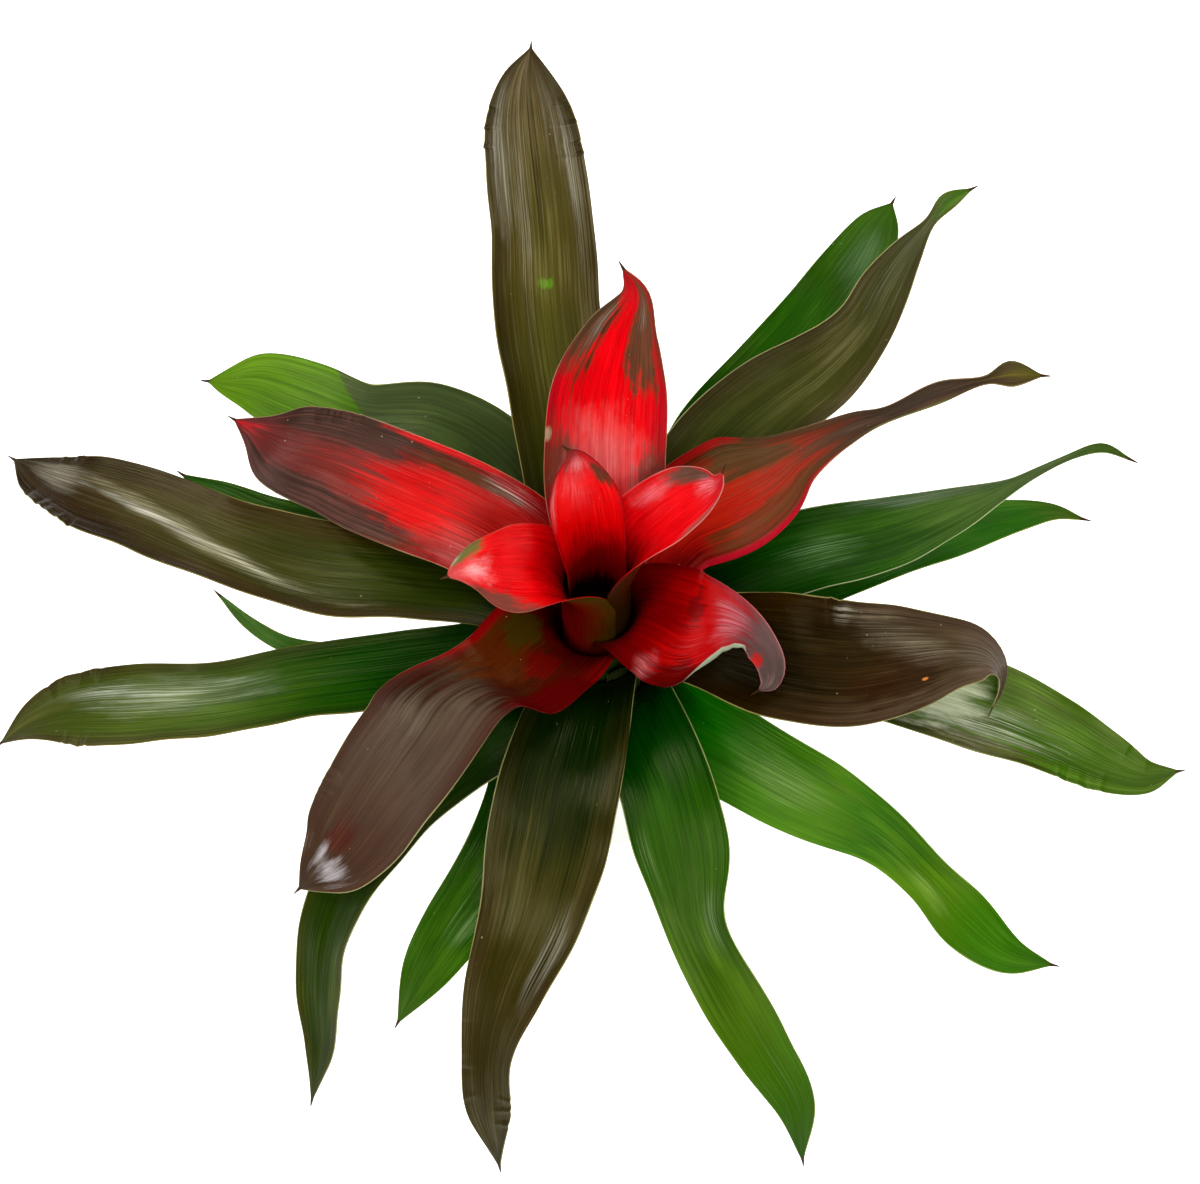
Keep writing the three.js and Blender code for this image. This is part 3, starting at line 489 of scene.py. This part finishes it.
def sheath(leaf):
    """The sheath's rows of points: a shallow floor out from the stem, a rounded corner and the upright wall."""
    radius, neck = leaf["radius"], leaf["neck"]
    start = STEM_RADIUS + STEM_CLEARANCE
    low = MIX_TOP + MIX_CROWN + LOWEST_SHEATH + FLOOR_STEP * (LAST_LAYER - leaf["layer"])
    corner = low + FLOOR_SLOPE * (radius - start)
    foot = corner + CORNER_RISE
    profile = [
        (start, low), (radius - CORNER_RISE, corner - CORNER_DROP),
        (radius - CORNER_BEND[0], corner + CORNER_BEND[1]), (radius, foot),
    ]
    walls = max(2, round((neck - foot) / WALL_STEP))
    profile += [(radius, foot + (neck - foot) * i / walls) for i in range(1, walls + 1)]
    angles = leaf["azimuth"] + leaf["wrap"] * (2 * columns() - 1)
    rows = [[ring_point(r, a, z) for a in angles] for r, z in profile]
    widths = [2 * math.radians(leaf["wrap"]) * r for r, _ in profile]
    return np.array(rows), [z - neck for _, z in profile], widths


def stations(length, crimps):
    """Distances along the blade past its neck, closer together where the margin is crimped."""
    marks, here = [], STATION_STEP
    while here < length - STATION_STEP / 2:
        marks.append(here)
        t = here / length
        near = any(c["at"][0] - CRIMP_SPARE < t < c["at"][1] + CRIMP_SPARE for c in crimps)
        here += CRIMP_STEP if near or length - here < TIP_STRETCH else STATION_STEP
    return marks + [length]


def frames(leaf, path):
    """The blade's crosswise and upward directions, carried along the CAD's stations from neck to tip."""
    side = ring_point(1, leaf["azimuth"] + 90, 0)
    rows, knots = [], []
    for i in range(BLADE_STATIONS + 1):
        t = i / BLADE_STATIONS
        distance = PATH_LEAD + (path.length - PATH_LEAD) * (t - STATION_EASE * math.sin(2 * math.pi * t))
        roll, swing = path.at(distance)[4:]
        along = unit(path.at(min(distance + 1, path.length))[:3] - path.at(distance - 1)[:3])
        side = unit(side - along * side.dot(along))
        right = turn(side, along, roll)
        up = np.cross(along, right)
        rows.append([*turn(right, up, swing), *up])
        knots.append(distance)
    return Path(rows, knots), along


def blade(leaf):
    """The blade's rows of points: arcs across the path, opening from the sheath's wrap to a shallow channel."""
    neck = ring_point(leaf["radius"], leaf["azimuth"], leaf["neck"])
    neck_width = 2 * math.radians(leaf["wrap"]) * leaf["radius"]
    rows = [(*(neck - [0, 0, PATH_LEAD]), neck_width, 0, 0), (*neck, neck_width, 0, 0)]
    for x, y, z, *more in leaf["blade"]:
        width, roll, swing = (*more, 0, 0, 0)[:3]
        rows.append((x, y, MIX_TOP + z, max(width, TIP_WIDTH), roll, swing))
    path = Path(rows)
    length = path.length - PATH_LEAD
    carried, along = frames(leaf, path)
    spread = 2 * columns() - 1
    rows, marks, widths = [], [], []
    for here in stations(length, leaf["crimps"]):
        distance = PATH_LEAD + here
        *centre, width, _, _ = path.at(distance)
        right, up = np.split(carried.at(distance), 2)
        right = unit(right)
        up = unit(up - right * up.dot(right))
        opened = smooth(here / leaf["opening"])
        flattening = smooth((here / length - FLATTENING_START) / (1 - FLATTENING_START))
        channel = leaf["channel"] + (TIP_CHANNEL - leaf["channel"]) * flattening
        half = math.radians(leaf["wrap"] + (channel - leaf["wrap"]) * opened)
        bend = width / 2 / half
        angle = half * spread
        across, rise = np.outer(bend * np.sin(angle), right), np.outer(bend * (1 - np.cos(angle)), up)
        rows.append(np.array(centre) + across + rise)
        marks.append(here)
        widths.append(width)
    for _ in range(EASING_PASSES):
        rows = [rows[0]] + [(a + 2 * b + c) / 4 for a, b, c in zip(rows, rows[1:], rows[2:])] + [rows[-1]]
    for share in (0.4, 0.75, 1.0):
        width = TIP_WIDTH + (SPINE_WIDTH - TIP_WIDTH) * share
        offset = along * SPINE_LENGTH * share
        rows.append(np.array(centre) + offset + np.outer(width / 2 * spread, right))
        marks.append(length + SPINE_LENGTH * share)
        widths.append(width)
    return np.array(rows), marks, widths, length


def normals(grid):
    n = np.cross(np.gradient(grid, axis=0), np.gradient(grid, axis=1))
    return n / (np.linalg.norm(n, axis=2, keepdims=True) + 1e-12)


def relief(grid, marks, widths, length, leaf, seed):
    """Pushes the blade out along its normals: slow waves in the margins, lobes, a keel and the crimps."""
    u = columns()[None, :]
    s = np.array(marks)[:, None]
    w = np.array(widths)[:, None]
    rng = random.Random(seed)
    free = smooth((s - RELIEF_START) / RELIEF_RISE) * smooth((1.02 - s / length) / 0.12)
    height = np.zeros(grid.shape[:2])
    rim = np.abs(2 * u - 1) ** 1.6
    for near in (smooth(1 - u), smooth(u)):
        lengths = [rng.uniform(shortest, longest) for shortest, longest, _ in WAVES]
        for wavelength, (_, _, share) in zip(lengths, WAVES):
            wave = np.sin(2 * np.pi * s / wavelength + rng.uniform(0, PHASE))
            height += near * rim * (share * leaf["wave"]) * free * wave
    for _ in range(LOBES):
        lobe = bell(u, rng.uniform(0.2, 0.8), rng.uniform(0.1, 0.18))
        wave = np.sin(2 * np.pi * s / rng.uniform(*LOBE_LENGTHS) + rng.uniform(0, PHASE))
        height += LOBE_HEIGHT * free * lobe * wave
    height -= KEEL_DEPTH * smooth(s / KEEL_RISE) * bell(u, 0.5, KEEL_SPREAD) * (w > KEEL_LEAST_WIDTH)
    for fold in leaf["crimps"]:
        start, end = fold["at"]
        margin = w * (1 - u if fold["side"] > 0 else u)
        for k in range(fold["count"]):
            place = length * (start + (end - start) * (k + rng.uniform(0.1, 0.9)) / fold["count"])
            reach, width = rng.uniform(0.7, 1.3) * fold["reach"], rng.uniform(0.9, 1.7)
            slant = rng.uniform(-0.25, 0.1)
            ridge = bell(s, place + slant * margin, width) * smooth(1 - margin / reach)
            height += fold["depth"] * rng.choice((-1, 1, 1)) * rng.uniform(0.6, 1.1) * ridge
    return grid + normals(grid) * height[:, :, None]


def curled(grid, marks, widths, length, curl):
    """Rolls a stretch of the margin at u = 0 up and over, by up to an angle, so that the underside shows."""
    start, end, furthest, angle = curl
    n = normals(grid)
    for i, here in enumerate(marks):
        t = here / length
        strength = float(smooth((t - start) / (0.5 * (end - start))) * smooth((end - t) / 0.1))
        if strength < 0.01:
            continue
        margin = widths[i] * columns()
        reach = min(furthest, 0.7 * widths[i])
        base = int(np.argmin(np.abs(margin - reach)))
        anchor, up = grid[i, base].copy(), n[i, base]
        out = unit(anchor - grid[i, base + 1])
        radius = reach / (math.radians(angle) * strength)
        for j in range(base):
            a = (reach - margin[j]) / radius
            grid[i, j] = anchor + out * radius * math.sin(a) + up * radius * (1 - math.cos(a))
    return grid


def link(name, mesh):
    piece = bpy.data.objects.new(name, mesh)
    bpy.context.scene.collection.objects.link(piece)
    return piece


def leaf_piece(name, leaf, seed):
    low_rows, low_marks, low_widths = sheath(leaf)
    rows, marks, widths, length = blade(leaf)
    grid = np.concatenate([low_rows, rows])
    marks = low_marks + marks
    widths = low_widths + widths
    grid = relief(grid, marks, widths, length, leaf, seed)
    if "curl" in leaf:
        grid = curled(grid, marks, widths, length, leaf["curl"])
    count, span = grid.shape[:2]
    u = columns()
    n = normals(grid)
    breadth = np.array(widths)[:, None]
    edge = np.minimum(u, 1 - u)[None, :] * breadth
    thick = MARGIN_THICKNESS + (MIDDLE_THICKNESS - MARGIN_THICKNESS) * smooth(edge / MARGIN_TAPER)
    thick = np.minimum(thick, 0.35 * np.maximum(breadth, 0.8) + 0.1)
    skins = [(grid + n * (thick * side / 2)[:, :, None]).reshape(-1, 3) for side in (1, -1)]
    t = np.array(marks) / length
    bake_v = (np.array(marks) - marks[0]) / (marks[-1] - marks[0])
    faces, layers = [], {"OFBake": [], "Blade": [], "Metric": [], "Under": []}

    def face(side, *corners):
        """A face whose corners are (row, column, 1 on the underside)."""
        faces.append([(i + count * under) * span + j for i, j, under in corners])
        for i, j, under in corners:
            bake_u = BAKE_EDGE + (0.5 - 2 * BAKE_EDGE) * u[j] + 0.5 * under
            layers["OFBake"].append((bake_u, BAKE_EDGE + (1 - 2 * BAKE_EDGE) * bake_v[i]))
            layers["Blade"].append((u[j], t[i]))
            layers["Metric"].append((edge[i, j], marks[i]))
            layers["Under"].append((side, 0.0))

    for i in range(count - 1):
        for j in range(span - 1):
            face(0, (i, j, 0), (i + 1, j, 0), (i + 1, j + 1, 0), (i, j + 1, 0))
            face(1, (i, j, 1), (i, j + 1, 1), (i + 1, j + 1, 1), (i + 1, j, 1))
        face(0, (i, 0, 0), (i, 0, 1), (i + 1, 0, 1), (i + 1, 0, 0))
        face(0, (i, span - 1, 0), (i + 1, span - 1, 0), (i + 1, span - 1, 1), (i, span - 1, 1))
    for j in range(span - 1):
        face(0, (0, j, 0), (0, j + 1, 0), (0, j + 1, 1), (0, j, 1))
        face(0, (count - 1, j, 0), (count - 1, j, 1), (count - 1, j + 1, 1), (count - 1, j + 1, 0))
    mesh = bpy.data.meshes.new("leaf_" + name)
    mesh.from_pydata((np.concatenate(skins) * MM).tolist(), [], faces)
    for layer, values in layers.items():
        mesh.uv_layers.new(name=layer).data.foreach_set("uv", np.array(values, float).ravel())
    mesh.polygons.foreach_set("use_smooth", [True] * len(faces))
    return link("blade_" + name, mesh)


def colour(red, green, blue):
    """A screen colour, 0 to 255, as the linear colour that a shader takes."""
    linear = [c / 255 / 12.92 if c <= 10 else ((c / 255 + 0.055) / 1.055) ** 2.4 for c in (red, green, blue)]
    return (*linear, 1.0)


class Value:
    """An output in a shader's node tree; sums and products of values are nodes too."""

    def __init__(self, shader, socket):
        self.shader, self.socket = shader, socket

    def __add__(self, other):
        return self.shader.math("ADD", self, other)

    def __sub__(self, other):
        return self.shader.math("SUBTRACT", self, other)

    def __mul__(self, other):
        return self.shader.math("MULTIPLY", self, other)


class Shader:
    """A small node-tree writer around one Principled surface."""

    def __init__(self, name):
        self.material = bpy.data.materials.new(name)
        self.material.use_nodes = True
        self.tree = self.material.node_tree
        self.tree.nodes.clear()
        output = self.node("OutputMaterial")
        self.surface = self.node("BsdfPrincipled")
        self.tree.links.new(self.surface.outputs[0], output.inputs[0])

    def put(self, socket, value):
        if isinstance(value, Value):
            self.tree.links.new(value.socket, socket)
        else:
            socket.default_value = value

    def node(self, kind, inputs=(), **settings):
        node = self.tree.nodes.new("ShaderNode" + kind)
        for key, value in settings.items():
            setattr(node, key, value)
        for key, value in dict(inputs).items():
            self.put(node.inputs[key], value)
        return node

    def value(self, kind, inputs=(), output=0, **settings):
        return Value(self, self.node(kind, inputs, **settings).outputs[output])

    def math(self, operation, a, b=0.0):
        return self.value("Math", {0: a, 1: b}, operation=operation)

    def span(self, value, low, high, to_low=0.0, to_high=1.0):
        """A smooth step of value from low to high."""
        ends = {"Value": value, "From Min": low, "From Max": high, "To Min": to_low, "To Max": to_high}
        return self.value("MapRange", ends, interpolation_type="SMOOTHSTEP")

    def mix(self, factor, a, b, blend="MIX"):
        return self.value("Mix", {0: factor, 6: a, 7: b}, 2, data_type="RGBA", blend_type=blend)

    def ramp(self, value, stops):
        node = self.node("ValToRGB", {0: value})
        elements = node.color_ramp.elements
        while len(elements) < len(stops):
            elements.new(0.5)
        for element, (place, *shade) in zip(elements, stops):
            element.position = place / 100
            element.color = colour(*shade)
        return Value(self, node.outputs[0])

    def layer(self, name):
        """A mesh layer and its two parts."""
        node = self.node("UVMap", uv_map=name)
        parts = self.node("SeparateXYZ", {0: Value(self, node.outputs[0])}).outputs
        return [Value(self, socket) for socket in (node.outputs[0], parts[0], parts[1])]

    def noise(self, vector, stretch, detail=2.0, rough=0.5, shift=(0, 0, 0)):
        place = self.value("VectorMath", {0: vector, 1: stretch, 2: shift}, operation="MULTIPLY_ADD")
        ends = {"Vector": place, "Scale": 1.0, "Detail": detail, "Roughness": rough}
        return self.value("TexNoise", ends)

    def bump(self, height, strength, distance):
        return self.value("Bump", {"Height": height, "Strength": strength, "Distance": distance})

    def set(self, **inputs):
        for key, value in inputs.items():
            self.put(self.surface.inputs[key.replace("_", " ")], value)
        return self.material


def leaf_material(name, leaf, seed):
    """A waxy blade: two colour runs, for its middle and its margins, that meet in streaks along the veins."""
    m = Shader(name)
    uv, u, v = m.layer("Blade")
    edge, under = m.layer("Metric")[1], m.layer("Under")[1]
    shift = (seed * 3.7, seed * 1.9, seed * 0.31)
    broad, streak, ridge, fine, rib, blot = (
        m.noise(uv, (across, along, 1), detail, rough, shift) - 0.5
        for across, along, detail, rough in (BROAD, STREAK, RIDGE, FINE, RIB, BLOT))
    run = v + (streak * leaf["streak"] + broad * leaf["drift"])
    middle = m.ramp(run, leaf["middle"])
    margin = m.ramp(run, leaf.get("margin", leaf["middle"]))
    torn = m.math("ABSOLUTE", u * 2.0 - 1.0) + (streak * leaf["tear"] + broad * 0.3)
    shade = m.mix(m.span(torn, *leaf["edge"]), middle, margin)

    def nearness(oval):
        """How far inside an oval mark a point is; the oval leans by its slope, and streaks tear its rim."""
        below = v - oval["v"]
        across = (u - (below * oval["slope"] + oval["u"])) * (1 / oval["size"][0])
        along = below * (1 / oval["size"][1])
        far = m.math("SQRT", across * across + along * along)
        far = far + (streak * oval["tear"] + broad * oval["drift"]) + blot * oval["ragged"]
        return m.span(far, oval["inner"], 1.0, oval["strength"], 0.0)

    for oval in leaf["patches"]:
        shade = m.mix(nearness(oval), shade, colour(*oval["shade"]))
    if "fold" in leaf:
        place, slope = leaf["fold"]
        reach = v + (u * slope + broad * 0.02)
        shade = m.mix(m.span(reach, place - 0.004, place + 0.004), shade, m.ramp(run, leaf["folded"]))
    veins = (fine * 0.8 + streak * 0.75 + (rib * 0.75 + broad * 0.8)) * leaf["veins"] + 1.0
    grey = m.value("CombineColor", {0: veins, 1: veins, 2: veins})
    shade = m.mix(1.0, shade, grey, "MULTIPLY")
    thread = m.span(fine + streak * 0.7, -0.12, 0.28)
    # A painted sheen, partly the leaf's waxy streaks, in the blade's sheen colour. It is weaker towards the
    # neck, as painted shade where the blade lies under other leaves.
    sheen = m.span(rib + fine * 0.6 + broad * 1.2, 0.0, 0.4, 0.0, leaf["sheen"]) * m.span(v, 0.2, 0.6)
    shade = m.mix(sheen, shade, colour(*leaf["wax"]))
    # Painted highlights: pale streaks, partly waxy bloom, where the blade catches the light.
    for oval in leaf["bloom"]:
        woven = thread * (1 - oval["full"]) + oval["full"]
        shade = m.mix(nearness(oval) * woven, shade, colour(*oval["shade"]))
    # Painted shade: a cup leaf darkens to near black deep in the cup, below its throat.
    if "throat" in leaf:
        shade = m.mix(m.span(v + streak * 0.3, *leaf["throat"], 1.0, 0.0), shade, colour(*CUP_SHADE))
    below = m.ramp(run, leaf["under"])
    if "back" in leaf:
        low, high, tint = leaf["back"]
        below = m.mix(m.span(u + broad * 0.2, low, high), below, colour(*tint))
    below = m.mix(1.0, below, grey, "MULTIPLY")
    shade = m.mix(under, shade, below)
    line = m.span(edge + (broad * 1.2 + streak * 0.5), 0.08, 0.34, 0.6, 0.0)
    line = line * m.span(v, leaf["plain"], leaf["plain"] + 0.3)
    shade = m.mix(line, shade, colour(*leaf["line"]))
    shade = m.mix(m.span(v, 0.992, 1.002), shade, colour(*SPINE_BROWN))
    speck = m.noise(uv, (22.0, 90.0, 1), 1, shift=shift)
    shade = m.mix(m.span(speck, 0.80, 0.84, 0.0, 0.5), shade, colour(*SPECK))
    height = ridge * 0.7 + (rib * 0.4 + (streak * 0.3 + fine * 0.12))
    gloss = streak * 0.2 + under * 0.15 + LEAF_ROUGHNESS
    return m.set(Base_Color=shade, Roughness=gloss, Normal=m.bump(height, 0.8, leaf["ridge"]),
                 Specular_IOR_Level=leaf["specular"], Specular_Tint=leaf["tint"])


def pot_material():
    m = Shader("pot_white_plastic")
    place = m.value("TexCoord", output="Object")
    grain = m.noise(place, (900, 900, 900), 3)
    scuff = m.noise(place, (60, 60, 14), 4, 0.65)
    rings = m.noise(place, (4, 4, 1400), 1)
    shade = m.mix(m.span(scuff, 0.62, 0.8, 0.0, 0.25), colour(*POT_WHITE), colour(*POT_SCUFF))
    height = grain * 0.4 + rings * 0.6
    return m.set(Base_Color=shade, Roughness=scuff * 0.2 + 0.34, Normal=m.bump(height, 0.12, 0.0003))


def mix_material():
    m = Shader("bark_and_peat")
    place = m.value("TexCoord", output="Object")
    lumps = m.noise(place, (260, 260, 260), 5, 0.65)
    fleck = m.noise(place, (1300, 1300, 1300))
    shade = m.ramp(lumps, [(30, 24, 16, 10), (50, 58, 40, 26), (62, 96, 70, 46), (75, 132, 104, 72)])
    shade = m.mix(m.span(fleck, 0.66, 0.72, 0.0, 0.8), shade, colour(*PERLITE))
    return m.set(Base_Color=shade, Roughness=0.92, Normal=m.bump(lumps + fleck * 0.4, 0.9, 0.0015))


def stem_material():
    m = Shader("fibrous_stem")
    place = m.value("TexCoord", output="Object")
    rings = m.noise(place, (30, 30, 900), 3)
    fibre = m.noise(place, (1200, 1200, 90), 3)
    shade = m.ramp(rings, [(30, 70, 54, 30), (50, 112, 96, 56), (70, 146, 136, 84)])
    return m.set(Base_Color=shade, Roughness=0.8, Normal=m.bump(rings + fibre * 0.6, 0.8, 0.001))


def turned(name, profile, sides, seam_angle=32):
    """A turned body from a closed profile of (radius, height) in millimetres; radius 0 closes on the axis."""
    points, rings = [], []
    for r, z in profile:
        if r == 0:
            rings.append([len(points)] * sides)
            points.append((0, 0, z * MM))
        else:
            rings.append(list(range(len(points), len(points) + sides)))
            for k in range(sides):
                a = 2 * math.pi * k / sides
                points.append((r * math.cos(a) * MM, r * math.sin(a) * MM, z * MM))
    faces = []
    for low, high in zip(rings, rings[1:]):
        for k in range(sides):
            n = (k + 1) % sides
            face = list(dict.fromkeys([low[k], low[n], high[n], high[k]]))
            if len(face) > 2:
                faces.append(face)
    mesh = bpy.data.meshes.new(name)
    mesh.from_pydata(points, [], faces)
    mesh.polygons.foreach_set("use_smooth", [True] * len(faces))
    mesh.set_sharp_from_angle(angle=math.radians(seam_angle))
    return link(name, mesh)


def rounded(corners, radius, steps=4):
    """A profile with each corner rounded, apart from its two ends."""
    result = [corners[0]]
    for before, corner, after in zip(corners, corners[1:], corners[2:]):
        c = np.array(corner, float)
        a, b = np.array(before) - c, np.array(after) - c
        reach = min(radius, 0.45 * np.linalg.norm(a), 0.45 * np.linalg.norm(b))
        a, b = c + unit(a) * reach, c + unit(b) * reach
        for k in range(steps + 1):
            t = k / steps
            result.append(tuple(a * (1 - t) ** 2 + 2 * c * t * (1 - t) + b * t * t))
    return result + [corners[-1]]


def pot_radius(z):
    return POT_BASE_RADIUS + (POT_LIP_RADIUS - POT_RIM_STEP - POT_BASE_RADIUS) * z / POT_HEIGHT


def pot_piece():
    ring, rim = POT_BASE_RADIUS - FOOT_RING, POT_HEIGHT - POT_RIM_HEIGHT
    corners = [
        (0, FOOT_RECESS), (ring, FOOT_RECESS), (ring - FOOT_TAPER, 0), (POT_BASE_RADIUS - 1, 0),
        (pot_radius(3), 3), (pot_radius(30), 30), (pot_radius(rim), rim),
        (pot_radius(rim) + POT_RIM_STEP, rim + 1), (POT_LIP_RADIUS, POT_HEIGHT),
        (pot_radius(POT_HEIGHT) - POT_WALL, POT_HEIGHT), (pot_radius(rim) - POT_WALL, rim),
        (pot_radius(POT_FLOOR) - POT_WALL, POT_FLOOR), (0, POT_FLOOR),
    ]
    return turned("pot_shell", rounded(corners, POT_ROUNDING), 128)


def mix_piece():
    """A low heap of crumb with a plain hole for the stem, and loose bark chips bedded in its top."""
    rng = random.Random(11)
    radius = pot_radius(MIX_TOP) - POT_WALL - SEAT_GAP
    hole, foot, rim = STEM_RADIUS + SEAT_GAP, MIX_TOP - STEM_DEPTH, radius - 0.2
    profile = [(hole, foot), (radius - 8, foot), (rim, MIX_TOP - 1)]
    profile += [(rim - (rim - hole) * k / 16, MIX_TOP + MIX_CROWN * (k / 16)) for k in range(17)]
    piece = turned("bark_mix", profile + [(hole, foot)], 72, 180)
    mesh = piece.data
    for vertex in mesh.vertices:
        if vertex.co.z > (MIX_TOP - 0.5) * MM and vertex.co.xy.length < (radius - 2) * MM:
            vertex.co.z += rng.uniform(-0.9, 1.1) * MM
    points = [tuple(v.co) for v in mesh.vertices]
    faces = [tuple(p.vertices) for p in mesh.polygons]
    for _ in range(BARK_CHIPS):
        distance = math.sqrt(rng.uniform((hole + 4) ** 2, (radius - 3) ** 2))
        angle = rng.uniform(0, 2 * math.pi)
        size = rng.uniform(1.2, 3.6)
        height = MIX_TOP + MIX_CROWN * (1 - distance / radius) + 0.2 * size
        centre = Vector((distance * math.cos(angle), distance * math.sin(angle), height)) * MM
        axis = Vector((rng.uniform(-1, 1), rng.uniform(-1, 1), rng.uniform(-0.3, 0.3))).normalized()
        cross = axis.cross(Vector((0, 0, 1))).normalized()
        up = cross.cross(axis)
        first = len(points)
        scale = (size * rng.uniform(0.8, 1.6), size * rng.uniform(0.5, 0.9), size * rng.uniform(0.25, 0.5))
        for z in (-1, 1):
            for x, y in ((-1, -1), (1, -1), (1, 1), (-1, 1)):
                bend = [k * rng.uniform(0.55, 1.0) * MM for k in scale]
                points.append(tuple(centre + axis * x * bend[0] + cross * y * bend[1] + up * z * bend[2]))
        for face in ((0, 3, 2, 1), (4, 5, 6, 7), (0, 1, 5, 4), (1, 2, 6, 5), (2, 3, 7, 6), (3, 0, 4, 7)):
            faces.append([first + corner for corner in face])
    mesh.clear_geometry()
    mesh.from_pydata(points, [], faces)
    return piece


def stem_piece():
    """A short fibrous stem, ringed with the scars of old leaves."""
    rng = random.Random(5)
    foot = MIX_TOP - STEM_DEPTH
    top = MIX_TOP + MIX_CROWN + LOWEST_SHEATH + FLOOR_STEP * LAST_LAYER + 0.5
    profile = [(0, foot), (6.5, foot), (STEM_RADIUS - 0.2, foot + 4)]
    z = foot + 6
    while z < top - 2:
        profile += [(STEM_RADIUS - 0.1, z), (STEM_RADIUS - 0.7, z + 0.9)]
        z += rng.uniform(1.9, 2.9)
    profile += [(STEM_RADIUS - 0.2, top), (5.5, top + 3.6), (0, top + 3.9)]
    return turned("scarred_stem", profile, 48, 60)


def dress(piece, node, material):
    piece.data.materials.append(material)
    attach(piece, "root")
    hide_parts(node)


def placed(name, data, location):
    """A light or the camera, looking at the target."""
    thing = link(name, data)
    thing.location = location
    thing.rotation_euler = (Vector(TARGET) - thing.location).to_track_quat("-Z", "Y").to_euler()
    return thing


def studio():
    """A plain white floor, soft light from behind and in front, and a camera high at the front."""
    scene = bpy.context.scene
    scene.view_settings.view_transform = "Standard"
    world = bpy.data.worlds.new("studio")
    world.use_nodes = True
    background = world.node_tree.nodes["Background"].inputs
    background[0].default_value = (1, 1, 1, 1)
    background[1].default_value = WORLD_STRENGTH
    scene.world = world
    floor_mesh = bpy.data.meshes.new("floor")
    corners = [(x * FLOOR_REACH, y * FLOOR_REACH, 0) for x, y in ((-1, -1), (1, -1), (1, 1), (-1, 1))]
    floor_mesh.from_pydata(corners, [], [(0, 1, 2, 3)])
    m = Shader("white_floor")
    floor_mesh.materials.append(m.set(
        Base_Color=colour(250, 250, 250), Roughness=0.9, Emission_Color=(1, 1, 1, 1),
        Emission_Strength=FLOOR_GLOW))
    floor = link("floor", floor_mesh)
    for azimuth, elevation, size, power in SOFTBOXES:
        data = bpy.data.lights.new("softbox", "AREA")
        data.shape, data.size, data.size_y, data.energy = "RECTANGLE", size[0], size[1], power
        flat, height = (LIGHT_DISTANCE * f(math.radians(elevation)) for f in (math.cos, math.sin))
        placed("softbox", data, Vector(TARGET) + Vector(ring_point(flat, azimuth, height)))
    camera = bpy.data.cameras.new("camera")
    camera.lens, camera.sensor_width = LENS, SENSOR
    scene.camera = placed("camera", camera, CAMERA)


studio()
for number, (name, leaf) in enumerate(LEAVES.items(), 1):
    skin = leaf_material("skin_" + name, leaf, number)
    dress(leaf_piece(name, leaf, number), "leaf_" + name, skin)
dress(pot_piece(), "pot", pot_material())
dress(mix_piece(), "potting_mix", mix_material())
dress(stem_piece(), "stem", stem_material())
